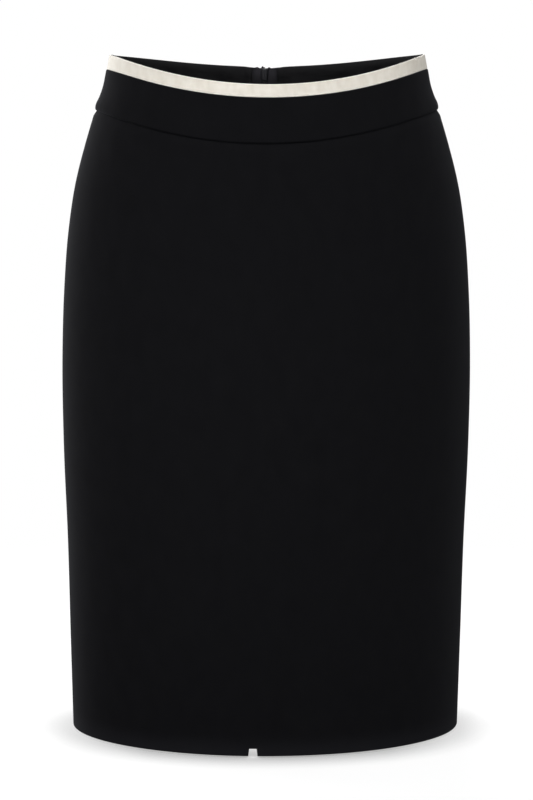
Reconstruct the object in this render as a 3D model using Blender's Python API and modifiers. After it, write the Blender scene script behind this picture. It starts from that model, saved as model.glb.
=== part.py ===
"""Black pencil skirt with a shaped yoke, a pale ribbon at the waist edge and a hidden zip.

The skirt keeps the hollow form it has when it is worn.  +Z is up, +X is to the right when
the front is faced, and the front faces -Y.  The origin is the centre of the waist opening,
level with the waist edge at the side seams.  Sizes are in millimetres and are turned to
metres when a mesh is made.
"""

import math

import bmesh
import bpy
import numpy as np

METRES_PER_MM = 0.001
COLLECTION_NAME = "pencil_skirt"
CUTTER_COLLECTION_NAME = "pencil_skirt_cutters"

# ---- driving dimensions, millimetres ----
SIDE_LENGTH = 585.4          # waist edge to hem, at the side seams
FRONT_DIP = 26.8             # how far the waist edge dips at the centre front
FRONT_DIP_POWER = 2.1        # the dip follows this power of the cosine round the front
BACK_DIP = 7.9               # the same at the centre back
BACK_DIP_POWER = 3.1
WAIST_LEAN = 0.8             # how much higher the waist edge is at the side seam on +X
HEM_DIP = 1.7                # how far the front hem hangs below the side seams
RIBBON_HEIGHT = 10.9
RIBBON_FLARE = 1.7           # how much taller the ribbon is at the side seams
BAND_HEIGHT = 48.7           # ribbon and yoke together, down to the yoke seam
SEAM_LIFT = 1.8              # how much the yoke seam rises to both side seams
SEAM_LEAN = 1.2              # and how much more it rises on the way to +X than to -X
FACING_HEIGHT = 43.0

CLOTH = 1.5                  # wall of the main cloth
HEM_TURN_UP = 35.0           # the hem is folded up inside over this height
HEM_STEP = 1.5               # height over which the wall thickens to two layers
SEAM_GAP = 0.3
LAYER_GAP = 0.3
SEAM_FACET = 1.5             # width of the facet beside a side seam

FACING_CLOTH = 1.0
TAPE_CLOTH = 1.0
TAPE_INNER = 0.9             # zip tape, from the centre back line
TAPE_OUTER = 12.9
ZIP_LENGTH = 200.0
ZIP_TAIL = 6.0               # length of tape below the teeth
COIL_WIDTH = 4.0
COIL_CLOTH = 2.0
RIBBON_END = 1.2             # half the gap between the ribbon's ends at the zip

VENT_HEIGHT = 150.0          # lapped walking vent at the centre back, above the hem
VENT_LAP = 38.0              # width of the underlap beyond the centre back line
VENT_RECESS = 3.5            # how far the underlap lies inside the outer surface
VENT_EASE = 25.0             # height over which the recess fades out above the vent
VENT_JOGGLE = 7.0            # width over which the cloth steps in to the underlap

NOTCH_WIDTH_HEM = 7.8        # small open notch in the front hem
NOTCH_WIDTH_TOP = 6.2
NOTCH_HEIGHT = 6.3
NOTCH_CENTRE = -13.7
NOTCH_SPARE = 4.0            # how far the cutter reaches below the hem
NOTCH_REACH = 30.0           # and its size through the cloth

SLIDER_WIDTH = 6.0
SLIDER_TOP = 0.4             # slider body, measured down from the waist edge
SLIDER_BOTTOM = 11.5
SLIDER_THICK = 3.0
SLIDER_TAPER = 0.72          # breadth of its lower end as a share of the upper end's
SLIDER_BEVEL = 0.6
FIN_WIDTH = 1.2              # the neck that passes between the tapes
FIN_ROOT = 0.9               # how far it reaches into the body
FIN_SHOULDER = 0.4           # and how far below the body's top it starts
EYE_RADIUS = 1.1
EYE_WALL = 1.0
EYE_OUT = 2.0                # centre of the eye, out from the cloth
EYE_DOWN = 2.8               # and down from the waist edge
EYE_ARC = (-60.0, 150.0)     # degrees of the eye's rim that stand clear of the neck
FIN_BOTTOM = 5.7
PULL_LENGTH = 20.0
PULL_THICK = 1.0
PULL_HEAD_WIDTH = 4.4
PULL_HEAD_CORNER = 0.8
PULL_NECK_WIDTH = 2.8
PULL_NECK_DOWN = 6.8         # the pinched neck, measured down from the bar
PULL_TAIL_WIDTH = 5.2
PULL_TAIL_ARC = (15.0, -195.0)
PULL_WINDOW = (1.0, 4.4)     # half width and lower end of the window round the eye
PULL_WINDOW_CORNER = 0.7
PULL_BAR = 0.5               # half thickness of the bar through the eye
PULL_LEAN = 3.5              # degrees that the pull leans in to rest on the cloth

# ---- the form: one row for each level down the skirt ----
SECTION_COLUMNS = ("height", "half_breadth", "front_depth", "back_depth", "fullness")
SECTIONS = (
    (-590.0, 169.4, 112.0, 114.0, 2.00),
    (-500.0, 171.6, 111.0, 116.0, 1.98),
    (-420.0, 173.4, 110.5, 120.0, 1.97),
    (-340.0, 176.4, 111.0, 126.0, 1.97),
    (-260.0, 177.2, 111.0, 131.0, 1.98),
    (-200.0, 175.2, 110.0, 131.0, 2.00),
    (-150.0, 171.2, 108.0, 126.0, 2.00),
    (-110.0, 165.0, 105.0, 118.5, 2.00),
    (-75.0, 156.0, 101.0, 110.0, 2.00),
    (-50.0, 148.5, 97.0, 104.0, 2.00),
    (-20.0, 139.7, 91.0, 96.5, 2.00),
    (0.0, 135.5, 88.0, 92.0, 2.00),
)
FRONT = -1
BACK = 1

QUARTER_STEPS = 10                        # facets from near the centre line to near the side
QUARTER_RANGE = (9.0, 83.0)               # degrees from the centre line
PANEL_ROW_SPACING = 42.0
PANEL_ROW_CLEAR = 15.0                    # an even row this near a row of its own is left out
YOKE_MIDDLE = 30.0                        # a row of facets half way down the yoke
ZIP_ROW_CLEAR = 1.0
ARC_STEP = 20.0                           # degrees
NORMAL_TURN = 0.0004                      # radians and millimetres to either side of a
NORMAL_RISE = 0.5                         # point, between which its normal is measured
WELD_METRES = 0.00001

BLACK_CREPE = (0.0065, 0.0065, 0.0075, 1.0)
CREAM_RIBBON = (0.81, 0.78, 0.71, 1.0)
COTTON_BLACK = (0.0075, 0.0075, 0.008, 1.0)
TAPE_BLACK = (0.012, 0.011, 0.013, 1.0)
ZIP_METAL = (0.03, 0.03, 0.032, 1.0)


def section_value(column, height):
    """Value of a table column at each height, on a cubic curve through the rows."""
    table = np.array(SECTIONS)
    knots = table[:, 0]
    values = table[:, SECTION_COLUMNS.index(column)]
    slopes = np.gradient(values, knots)
    row = np.clip(np.searchsorted(knots, height) - 1, 0, len(knots) - 2)
    span = knots[row + 1] - knots[row]
    t = (height - knots[row]) / span
    start = values[row] * (1 + 2 * t) * (1 - t) ** 2
    end = values[row + 1] * t * t * (3 - 2 * t)
    start_pull = slopes[row] * span * t * (1 - t) ** 2
    end_pull = slopes[row + 1] * span * t * t * (t - 1)
    return start + end + start_pull + end_pull


def surface_point(angle, height, side):
    """Point of the outer surface; the angle runs from the centre line, positive to +X."""
    power = 2 / section_value("fullness", height)
    depth = section_value("front_depth" if side == FRONT else "back_depth", height)
    across = section_value("half_breadth", height) * np.sign(angle) * np.abs(np.sin(angle)) ** power
    along = side * depth * np.abs(np.cos(angle)) ** power
    return np.stack([across, along, height], axis=-1)


def surface_normal(angle, height, side):
    """Unit normal of the outer surface, pointing out of the skirt."""
    across = (surface_point(angle + NORMAL_TURN, height, side)
              - surface_point(angle - NORMAL_TURN, height, side))
    up = (surface_point(angle, height + NORMAL_RISE, side)
          - surface_point(angle, height - NORMAL_RISE, side))
    normal = -side * np.cross(across, up)
    return normal / np.linalg.norm(normal, axis=-1, keepdims=True)


def waist_edge(angle, side):
    """Height of the waist edge, which dips towards the centre line and leans a little."""
    sine, cosine = np.sin(angle), np.abs(np.cos(angle))
    if side == FRONT:
        return WAIST_LEAN * sine - FRONT_DIP * cosine ** FRONT_DIP_POWER
    return WAIST_LEAN * sine ** 3 - BACK_DIP * cosine ** BACK_DIP_POWER


def ribbon_drop(angle):
    """Drop from the waist edge to the lower edge of the ribbon."""
    return RIBBON_HEIGHT + RIBBON_FLARE * (1 - np.cos(angle))


def yoke_drop(angle):
    """Drop from the waist edge to the yoke seam, which rises and levels out to the sides."""
    sine, level = np.sin(angle), np.cos(angle) ** 2
    return BAND_HEIGHT - SEAM_LIFT * (1 - level ** 2) - SEAM_LEAN * sine * level


def hem_edge(angle, side):
    """Height of the hem."""
    dip = HEM_DIP if side == FRONT else 0.0
    return -SIDE_LENGTH - dip * np.cos(angle) ** 2


def angle_at_x(x, height):
    """Angle from the centre line at which the surface stands x from it."""
    breadth = section_value("half_breadth", height)
    power = section_value("fullness", height) / 2
    return np.sign(x) * np.arcsin((np.abs(x) / breadth) ** power)


def angle_at_y(y, height, side):
    """Angle from the centre line at which the surface stands y from the side seam."""
    depth = section_value("front_depth" if side == FRONT else "back_depth", height)
    return np.arccos((y / depth) ** (section_value("fullness", height) / 2))


def below_waist(drop, extra=0.0):
    """Height function of a row below the waist edge: by a length, or by a function's, and extra."""
    def height(angle, side):
        fall = drop(angle) if callable(drop) else drop
        return waist_edge(angle, side) - fall - extra
    return height


def panel_heights():
    """Height functions for the rows from the hem up to the yoke seam, and the rows' levels."""
    seam = below_waist(yoke_drop, SEAM_GAP / 2)
    full = SIDE_LENGTH - BAND_HEIGHT - SEAM_GAP / 2
    fixed = [0.0, HEM_TURN_UP, HEM_TURN_UP + HEM_STEP, VENT_HEIGHT, VENT_HEIGHT + VENT_EASE]
    even = np.linspace(0.0, full, round(full / PANEL_ROW_SPACING) + 1)
    clear = [level for level in even
             if min(abs(level - known) for known in fixed) > PANEL_ROW_CLEAR]
    shares = sorted(level / full for level in [*fixed, *clear])

    def row(share):
        def height(angle, side):
            hem = hem_edge(angle, side)
            return hem + share * (seam(angle, side) - hem)
        return height
    return [row(share) for share in shares], np.array(shares) * full


def quarter_angles(row, side, near_centre):
    """Angles of one row's columns, from the centre line to the side seam."""
    centre_height = row(0.0, side)
    side_height = row(math.pi / 2, side)
    first = [float(angle_at_x(x, centre_height)) for x in near_centre]
    regular = np.radians(np.linspace(*QUARTER_RANGE, QUARTER_STEPS + 1))
    last = [float(angle_at_y(y, side_height, side)) for y in (SEAM_FACET, SEAM_GAP / 2)]
    return np.array([*first, *regular, *last])


def front_grid(rows):
    """Angles and heights of a front piece, left to right, one list for each row."""
    angles = []
    for row in rows:
        half = quarter_angles(row, FRONT, [])
        angles.append(np.concatenate([-half[::-1], [0.0], half]))
    return place_rows(rows, np.array(angles), FRONT)


def back_grid(rows, hand, near_centre):
    """Angles and heights of a back piece; hand is +1 for the piece on +X, -1 for the other."""
    angles = np.array([quarter_angles(row, BACK, near_centre) for row in rows])
    angles = angles[:, ::-1] if hand > 0 else -angles
    return place_rows(rows, angles, BACK)


def place_rows(rows, angles, side):
    """Heights that go with the angles of each row."""
    heights = np.array([row(angles[index], side) for index, row in enumerate(rows)])
    return angles, heights


def grid_mesh(name, points, dropped=None, wall_shares=None):
    """Open surface: a grid primitive whose points are moved to the places given.

    points has one row of places for each row of the grid, lowest row first.  dropped marks
    the grid's squares that are left out.  wall_shares gives each row a weight in the first
    vertex group.
    """
    row_count, column_count = points.shape[:2]
    mesh = bpy.data.meshes.new(name)
    work = bmesh.new()
    bmesh.ops.create_grid(work, x_segments=column_count - 1, y_segments=row_count - 1, size=1.0)
    weights = work.verts.layers.deform.verify()
    places = {}
    for vertex in work.verts:
        column = round((vertex.co.x + 1) / 2 * (column_count - 1))
        row = round((vertex.co.y + 1) / 2 * (row_count - 1))
        places[vertex] = (row, column)
        vertex.co = points[row, column] * METRES_PER_MM
        if wall_shares is not None:
            vertex[weights][0] = wall_shares[row]
    if dropped is not None:
        lost = [face for face in work.faces
                if dropped[tuple(min(place) for place in zip(*(places[v] for v in face.verts)))]]
        bmesh.ops.delete(work, geom=lost, context="FACES")
    work.normal_update()
    work.to_mesh(mesh)
    work.free()
    return mesh


def make_material(name, colour, roughness, metallic=0.0):
    """Principled material with a plain finish."""
    material = bpy.data.materials.new(name)
    material.use_nodes = True
    shader = material.node_tree.nodes["Principled BSDF"]
    shader.inputs["Base Color"].default_value = colour
    shader.inputs["Roughness"].default_value = roughness
    shader.inputs["Metallic"].default_value = metallic
    return material


def add_object(name, data, material, collection):
    """Object for a mesh or curve, in the collection and with its material."""
    item = bpy.data.objects.new(name, data)
    if material is not None:
        data.materials.append(material)
    collection.objects.link(item)
    return item


def add_cloth(name, points, thickness, material, collection, dropped=None, wall_shares=None):
    """Cloth piece: the outer surface, given a wall that grows inwards.

    wall_shares gives each row's share of the thickness where the wall varies.
    """
    mesh = grid_mesh(name, points, dropped, wall_shares)
    item = add_object(name, mesh, material, collection)
    wall = item.modifiers.new("wall", "SOLIDIFY")
    wall.thickness = thickness * METRES_PER_MM
    wall.offset = -1.0
    wall.use_even_offset = True
    if wall_shares is not None:
        wall.vertex_group = item.vertex_groups.new(name="wall").name
    return item


def moved_in(angles, heights, side, depth):
    """Points of the outer surface moved in along its normals, by one depth or one for each."""
    inward = np.asarray(depth)[..., None] * surface_normal(angles, heights, side)
    return surface_point(angles, heights, side) - inward


def build_front_panel(material, collection, cutters):
    """Front panel, in one piece from side seam to side seam, with the notch in its hem."""
    rows, levels = panel_heights()
    angles, heights = front_grid(rows)
    points = surface_point(angles, heights, FRONT)
    item = add_cloth("front_panel", points, 2 * CLOTH, material, collection,
                     wall_shares=hem_wall_shares(levels))
    cut = item.modifiers.new("notch", "BOOLEAN")
    cut.operation = "DIFFERENCE"
    cut.solver = "EXACT"
    cut.object = build_notch_cutter(cutters)
    return item


def hem_wall_shares(levels):
    """Share of the doubled wall at each row: whole in the turned-up hem, half above it."""
    return np.where(levels < HEM_TURN_UP + HEM_STEP / 2, 1.0, 0.5)


def build_notch_cutter(cutters):
    """Block with leaning sides that cuts the notch through the front hem."""
    flare = (NOTCH_WIDTH_HEM - NOTCH_WIDTH_TOP) / NOTCH_HEIGHT
    foot = NOTCH_WIDTH_HEM / 2 + flare * NOTCH_SPARE / 2
    top = NOTCH_WIDTH_TOP / 2
    outline = [(-foot, -NOTCH_SPARE), (foot, -NOTCH_SPARE), (top, NOTCH_HEIGHT),
               (-top, NOTCH_HEIGHT)]
    plate = flat_curve("notch_cutter", [outline], NOTCH_REACH)
    cutter = add_object("notch_cutter", plate, None, cutters)
    hem_depth = float(section_value("front_depth", -SIDE_LENGTH))
    cutter.location = (NOTCH_CENTRE * METRES_PER_MM, -hem_depth * METRES_PER_MM,
                       -(SIDE_LENGTH + HEM_DIP) * METRES_PER_MM)
    cutter.rotation_euler = (math.pi / 2, 0.0, 0.0)
    return curve_to_mesh(cutter, cutters)


def build_back_panel_right(material, collection):
    """Back panel on +X: its centre edge folds over the underlap at the vent."""
    rows, levels = panel_heights()
    reaches = [SEAM_GAP / 2, TAPE_INNER, VENT_JOGGLE, TAPE_OUTER]
    angles, heights = back_grid(rows, 1, reaches)
    points = surface_point(angles, heights, BACK)
    return add_cloth("back_panel_right", points, 2 * CLOTH, material, collection,
                     wall_shares=hem_wall_shares(levels))


def build_back_panel_left(material, collection):
    """Back panel on -X, with the underlap that runs on past the centre line at the vent."""
    rows, levels = panel_heights()
    reaches = [SEAM_GAP / 2, TAPE_INNER, VENT_JOGGLE, TAPE_OUTER]
    angles, heights = back_grid(rows, -1, reaches)
    lap_reaches = [VENT_LAP, VENT_LAP / 2, VENT_JOGGLE, TAPE_INNER]
    lap = np.array([[float(angle_at_x(x, row(0.0, BACK))) for x in lap_reaches] for row in rows])
    angles = np.concatenate([lap, angles], axis=1)
    heights = np.array([row(angles[index], BACK) for index, row in enumerate(rows)])
    points = moved_in(angles, heights, BACK, vent_recess(angles, heights, levels))
    dropped = np.zeros((len(rows) - 1, angles.shape[1] - 1), dtype=bool)
    above = np.round(levels[:-1], 3) >= VENT_HEIGHT
    dropped[np.ix_(above, range(len(lap_reaches)))] = True
    return add_cloth("back_panel_left", points, 2 * CLOTH, material, collection,
                     dropped=dropped, wall_shares=hem_wall_shares(levels))


def vent_recess(angles, heights, levels):
    """Depth of each point inside the outer surface, full on the underlap."""
    x = surface_point(angles, heights, BACK)[..., 0]
    across = np.clip((x + VENT_JOGGLE) / (VENT_JOGGLE - SEAM_GAP / 2), 0, 1)
    up = np.clip((VENT_HEIGHT + VENT_EASE - levels[:, None]) / VENT_EASE, 0, 1)
    return VENT_RECESS * across * up


def build_band(materials, collection):
    """Yoke, ribbon and facing: each a front and two backs."""
    half = SEAM_GAP / 2
    top, middle = below_waist(0.0), below_waist(YOKE_MIDDLE)
    yoke = [below_waist(yoke_drop, -half), middle, below_waist(ribbon_drop, half)]
    ribbon = [below_waist(ribbon_drop, -half), top]
    facing = [below_waist(FACING_HEIGHT), middle, below_waist(ribbon_drop), top]
    inside = CLOTH + LAYER_GAP
    centre = {"yoke": [half, TAPE_INNER, TAPE_OUTER], "ribbon": [RIBBON_END, TAPE_OUTER],
              "facing": [TAPE_OUTER + SEAM_GAP]}
    for kind, rows, depth, wall, finish in (
            ("yoke", yoke, 0.0, CLOTH, "crepe"),
            ("ribbon", ribbon, 0.0, CLOTH, "ribbon"),
            ("facing", facing, inside, FACING_CLOTH, "facing")):
        angles, heights = front_grid(rows)
        add_cloth(kind + "_front", moved_in(angles, heights, FRONT, depth), wall,
                  materials[finish], collection)
        for hand, word in ((1, "right"), (-1, "left")):
            angles, heights = back_grid(rows, hand, centre[kind])
            add_cloth(kind + "_back_" + word, moved_in(angles, heights, BACK, depth), wall,
                      materials[finish], collection)


def zip_rows(top, bottom):
    """Rows of a strip along the centre back, on the same levels as the cloth over it."""
    panel_rows, _ = panel_heights()
    band_rows = [below_waist(drop) for drop in (yoke_drop, YOKE_MIDDLE, ribbon_drop)]
    levels = [float(row(0.0, BACK)) for row in (*band_rows, *panel_rows)]
    start, end = (float(below_waist(drop)(0.0, BACK)) for drop in (bottom, top))
    inner = [level for level in levels if start + ZIP_ROW_CLEAR < level < end - ZIP_ROW_CLEAR]
    return np.array(sorted([start, *inner, end]))


def strip_points(levels, x_places, depth):
    """Points of a strip on the back, at the depth given inside the outer surface."""
    heights = np.repeat(levels[:, None], len(x_places), axis=1)
    angles = np.array([[float(angle_at_x(x, level)) for x in x_places] for level in levels])
    return moved_in(angles, heights, BACK, depth)


def build_zip_tapes(material, collection):
    """The two tapes of the zip, on the inside of the centre back seam."""
    levels = zip_rows(0.0, ZIP_LENGTH + ZIP_TAIL)
    depth = CLOTH + LAYER_GAP
    right = [TAPE_OUTER, TAPE_INNER]
    add_cloth("zip_tape_right", strip_points(levels, right, depth), TAPE_CLOTH, material, collection)
    left = [-TAPE_INNER, -TAPE_OUTER]
    add_cloth("zip_tape_left", strip_points(levels, left, depth), TAPE_CLOTH, material, collection)


def build_zip_coil(material, collection):
    """The closed coil below the slider, as one plain bar."""
    levels = zip_rows(SLIDER_BOTTOM + LAYER_GAP, ZIP_LENGTH)
    depth = CLOTH + LAYER_GAP + TAPE_CLOTH + LAYER_GAP
    places = [COIL_WIDTH / 2, -COIL_WIDTH / 2]
    add_cloth("zip_coil", strip_points(levels, places, depth), COIL_CLOTH, material, collection)


def add_zip_frame(collection):
    """Empty at the centre back waist edge: its Y points out of the cloth, its -Z down along it."""
    height = np.array(waist_edge(0.0, BACK))
    point = surface_point(np.array(0.0), height, BACK)
    normal = surface_normal(np.array(0.0), height - SLIDER_BOTTOM, BACK)
    frame = bpy.data.objects.new("zip_frame", None)
    frame.location = [float(value) * METRES_PER_MM for value in point]
    frame.rotation_euler = (math.atan2(float(normal[2]), float(normal[1])), 0.0, 0.0)
    collection.objects.link(frame)
    return frame


def flat_curve(name, outlines, thickness):
    """Flat plate from closed outlines in the curve's own XY plane; later outlines are holes."""
    curve = bpy.data.curves.new(name, "CURVE")
    curve.dimensions = "2D"
    curve.fill_mode = "BOTH"
    curve.extrude = thickness / 2 * METRES_PER_MM
    for outline in outlines:
        spline = curve.splines.new("POLY")
        spline.points.add(len(outline) - 1)
        for point, (x, y) in zip(spline.points, outline):
            point.co = (x * METRES_PER_MM, y * METRES_PER_MM, 0.0, 1.0)
        spline.use_cyclic_u = True
    return curve


def arc(centre, radius, start, end):
    """Points on an arc, angles in degrees."""
    turns = np.radians(np.linspace(start, end, round(abs(end - start) / ARC_STEP) + 1))
    return [(centre[0] + radius * math.cos(turn), centre[1] + radius * math.sin(turn))
            for turn in turns]


def curve_to_mesh(item, collection):
    """Cutter mesh in place of a curve object, with its caps welded on."""
    bpy.context.view_layer.update()
    graph = bpy.context.evaluated_depsgraph_get()
    mesh = bpy.data.meshes.new_from_object(item.evaluated_get(graph))
    work = bmesh.new()
    work.from_mesh(mesh)
    bmesh.ops.remove_doubles(work, verts=work.verts, dist=WELD_METRES)
    bmesh.ops.recalc_face_normals(work, faces=work.faces)
    work.to_mesh(mesh)
    work.free()
    solid = bpy.data.objects.new(item.name, mesh)
    solid.matrix_world = item.matrix_world
    collection.objects.link(solid)
    solid.hide_render = True
    solid.display_type = "WIRE"
    bpy.data.objects.remove(item)
    return solid


def build_zip_slider(material, collection, cutters, frame):
    """Slider: a body inside the tapes and a fin that comes out between them with an eye."""
    inside = -(CLOTH + LAYER_GAP + TAPE_CLOTH + LAYER_GAP)
    work = bmesh.new()
    bmesh.ops.create_cube(work, size=1.0)
    size = (SLIDER_WIDTH, SLIDER_THICK, SLIDER_BOTTOM - SLIDER_TOP)
    middle = (0.0, inside - SLIDER_THICK / 2, -(SLIDER_TOP + SLIDER_BOTTOM) / 2)
    for vertex in work.verts:
        vertex.co.x *= SLIDER_TAPER if vertex.co.z < 0 else 1.0
        vertex.co = [(middle[axis] + vertex.co[axis] * size[axis]) * METRES_PER_MM
                     for axis in range(3)]
    bmesh.ops.bevel(work, geom=work.edges[:], offset=SLIDER_BEVEL * METRES_PER_MM, segments=2,
                    affect="EDGES", profile=0.5)
    mesh = bpy.data.meshes.new("zip_slider")
    work.to_mesh(mesh)
    work.free()
    slider = add_object("zip_slider", mesh, material, collection)
    slider.parent = frame

    eye = (EYE_OUT, -EYE_DOWN)
    root = inside - FIN_ROOT
    shoulder = -SLIDER_TOP - FIN_SHOULDER
    fin_outline = [(root, -FIN_BOTTOM), *arc(eye, EYE_RADIUS + EYE_WALL, *EYE_ARC),
                   (inside, shoulder), (root, shoulder)]
    hole = arc(eye, EYE_RADIUS, 0.0, 360.0 - ARC_STEP)
    fin = add_object("zip_fin", flat_curve("zip_fin", [fin_outline, hole], FIN_WIDTH), None, cutters)
    fin.parent = frame
    fin.rotation_euler = (math.pi / 2, 0.0, math.pi / 2)
    fin = curve_to_mesh(fin, cutters)
    union = slider.modifiers.new("fin", "BOOLEAN")
    union.operation = "UNION"
    union.solver = "EXACT"
    union.object = fin
    return slider


def build_zip_pull(material, collection, frame):
    """Pull tab, which swings on its bar in the slider's eye and rests on the cloth."""
    hinge = bpy.data.objects.new("zip_pull_hinge", None)
    hinge.parent = frame
    hinge.location = (0.0, EYE_OUT * METRES_PER_MM, -EYE_DOWN * METRES_PER_MM)
    hinge.rotation_euler = (-math.radians(PULL_LEAN), 0.0, 0.0)
    collection.objects.link(hinge)
    head, neck, tail = PULL_HEAD_WIDTH / 2, PULL_NECK_WIDTH / 2, PULL_TAIL_WIDTH / 2
    side, low = PULL_WINDOW
    end = PULL_LENGTH - PULL_BAR - tail
    corner = (head - PULL_HEAD_CORNER, PULL_BAR - PULL_HEAD_CORNER)
    outline = [*arc(corner, PULL_HEAD_CORNER, 90.0, 0.0),
               (head, -low), (neck, -PULL_NECK_DOWN),
               *arc((0.0, -end), tail, *PULL_TAIL_ARC),
               (-neck, -PULL_NECK_DOWN), (-head, -low),
               *arc((-corner[0], corner[1]), PULL_HEAD_CORNER, 180.0, 90.0)]
    cut = PULL_WINDOW_CORNER
    window = [(-side, -PULL_BAR), (side, -PULL_BAR), (side, cut - low), (side - cut, -low),
              (cut - side, -low), (-side, cut - low)]
    pull = add_object("zip_pull", flat_curve("zip_pull", [outline, window], PULL_THICK),
                      material, collection)
    pull.parent = hinge
    pull.rotation_euler = (math.pi / 2, 0.0, 0.0)
    return pull


def main():
    """Clear the scene and build the skirt, piece by piece."""
    for item in list(bpy.data.objects):
        bpy.data.objects.remove(item)
    collection = bpy.data.collections.new(COLLECTION_NAME)
    cutters = bpy.data.collections.new(CUTTER_COLLECTION_NAME)
    bpy.context.scene.collection.children.link(collection)
    bpy.context.scene.collection.children.link(cutters)
    materials = {
        "crepe": make_material("black_crepe", BLACK_CREPE, 0.85),
        "ribbon": make_material("cream_ribbon", CREAM_RIBBON, 0.6),
        "facing": make_material("black_cotton", COTTON_BLACK, 0.9),
        "tape": make_material("zip_tape", TAPE_BLACK, 0.75),
        "metal": make_material("zip_metal", ZIP_METAL, 0.4, 0.8),
    }
    build_front_panel(materials["crepe"], collection, cutters)
    build_back_panel_left(materials["crepe"], collection)
    build_back_panel_right(materials["crepe"], collection)
    build_band(materials, collection)
    build_zip_tapes(materials["tape"], collection)
    build_zip_coil(materials["tape"], collection)
    frame = add_zip_frame(collection)
    build_zip_slider(materials["metal"], collection, cutters, frame)
    build_zip_pull(materials["metal"], collection, frame)


main()
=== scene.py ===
"""Black pencil skirt with a cream ribbon at the waist: the looks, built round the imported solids.

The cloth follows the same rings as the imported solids: half breadths and depths at a few heights,
joined by smooth curves.  Each piece that a maker would cut is one closed shell with rounded
edges, worked out as whole arrays.  Lengths inside the classes are in millimetres, and they are
turned to metres when a mesh is made.
"""

import logging
import math
from dataclasses import dataclass, field
from enum import Enum
from typing import Callable, Optional, Sequence

import bpy
import numpy as np
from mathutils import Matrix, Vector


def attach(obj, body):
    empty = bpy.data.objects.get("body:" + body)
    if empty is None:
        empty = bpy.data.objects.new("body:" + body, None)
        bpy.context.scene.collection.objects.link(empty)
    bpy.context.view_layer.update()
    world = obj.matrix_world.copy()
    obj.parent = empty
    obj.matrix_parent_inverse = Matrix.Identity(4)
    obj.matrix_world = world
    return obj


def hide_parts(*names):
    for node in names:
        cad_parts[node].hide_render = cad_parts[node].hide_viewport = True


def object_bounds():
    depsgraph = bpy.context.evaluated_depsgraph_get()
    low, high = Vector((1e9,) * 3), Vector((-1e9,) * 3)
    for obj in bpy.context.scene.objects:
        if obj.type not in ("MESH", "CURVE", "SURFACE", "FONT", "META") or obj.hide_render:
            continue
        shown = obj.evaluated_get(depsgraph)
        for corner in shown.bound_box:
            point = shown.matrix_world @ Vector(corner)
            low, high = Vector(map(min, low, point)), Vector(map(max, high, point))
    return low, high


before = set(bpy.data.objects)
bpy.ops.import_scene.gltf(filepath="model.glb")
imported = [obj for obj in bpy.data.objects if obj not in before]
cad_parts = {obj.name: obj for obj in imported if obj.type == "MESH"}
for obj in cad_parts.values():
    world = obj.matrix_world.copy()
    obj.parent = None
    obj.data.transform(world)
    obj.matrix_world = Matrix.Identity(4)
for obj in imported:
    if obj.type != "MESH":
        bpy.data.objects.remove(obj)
CAD_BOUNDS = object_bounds()

LOG = logging.getLogger("skirt")
METRES_PER_MM = 0.001
MM_PER_METRE = 1000
UV_NAME = "cloth"
FULL_TURN = 2 * math.pi
WAVE_RATE = 20  # radians that a Wave Texture turns over one unit of place, at a scale of 1
ACROSS = np.array([1.0, 0.0, 0.0])

Array = np.ndarray
HeightLine = Callable[[Array], Array]
Material, Node, Socket = bpy.types.Material, bpy.types.Node, bpy.types.NodeSocket


class Side(Enum):
    """Half of the skirt; the value is the sign of y there."""

    FRONT = -1
    BACK = 1


def linear(colour: str) -> tuple[float, float, float, float]:
    """Linear RGBA, as Blender's sockets hold it, of an sRGB colour written as #RRGGBB."""
    parts = [int(colour[place:place + 2], 16) / 255 for place in (1, 3, 5)]
    return (*(part / 12.92 if part <= 0.04045 else ((part + 0.055) / 1.055) ** 2.4
              for part in parts), 1.0)


def smoothstep(share: Array) -> Array:
    """Cubic ease from 0 to 1: 3t^2 - 2t^3 with t held between 0 and 1."""
    held = np.clip(share, 0.0, 1.0)
    return held * held * (3 - 2 * held)


def bell(distance: Array, width: float) -> Array:
    """Bell curve exp(-(d/w)^2), 1 at no distance."""
    return np.exp(-(distance / width) ** 2)


def waves(along: Array, up: Array, rows: Sequence[tuple[float, ...]]) -> Array:
    """Sum of size * sin(along / length + up / height + phase) over rows of those four."""
    return sum(size * np.sin(along / length + up / height + phase)
               for size, length, height, phase in rows)


def unit(vectors: Array) -> Array:
    """Vectors over their own lengths."""
    return vectors / np.linalg.norm(vectors, axis=-1, keepdims=True)


# --------------------------------------------------------------------------------------
# Form of the worn skirt
# --------------------------------------------------------------------------------------


@dataclass(frozen=True)
class Crease:
    """A soft trough or ridge along a straight line on the flat cloth.

    Args:
        side: half of the skirt that it lies on.
        start: place of one end: along the cloth from the centre line, and height.
        end: place of the other end.
        width: distance across at which it has faded to a third.
        rise: height of the ridge, negative for a trough.
        end_share: share of its length over which each end fades.
    """

    side: Side
    start: tuple[float, float]
    end: tuple[float, float]
    width: float
    rise: float
    end_share: float = 0.35

    def relief(self, along: Array, height: Array) -> Array:
        """Bell across the line, eased to nothing at its ends.

        Args:
            along: lengths along the cloth from the centre line.
            height: heights of the same places.

        Returns:
            Rise at each place.
        """
        run = np.array(self.end) - np.array(self.start)
        length = float(np.hypot(*run))
        step = run / length
        near = (along - self.start[0]) * step[0] + (height - self.start[1]) * step[1]
        off = (along - self.start[0]) * step[1] - (height - self.start[1]) * step[0]
        fade = self.end_share * length
        ease = smoothstep(near / fade) * smoothstep((length - near) / fade)
        return self.rise * bell(off, self.width) * ease


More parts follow.
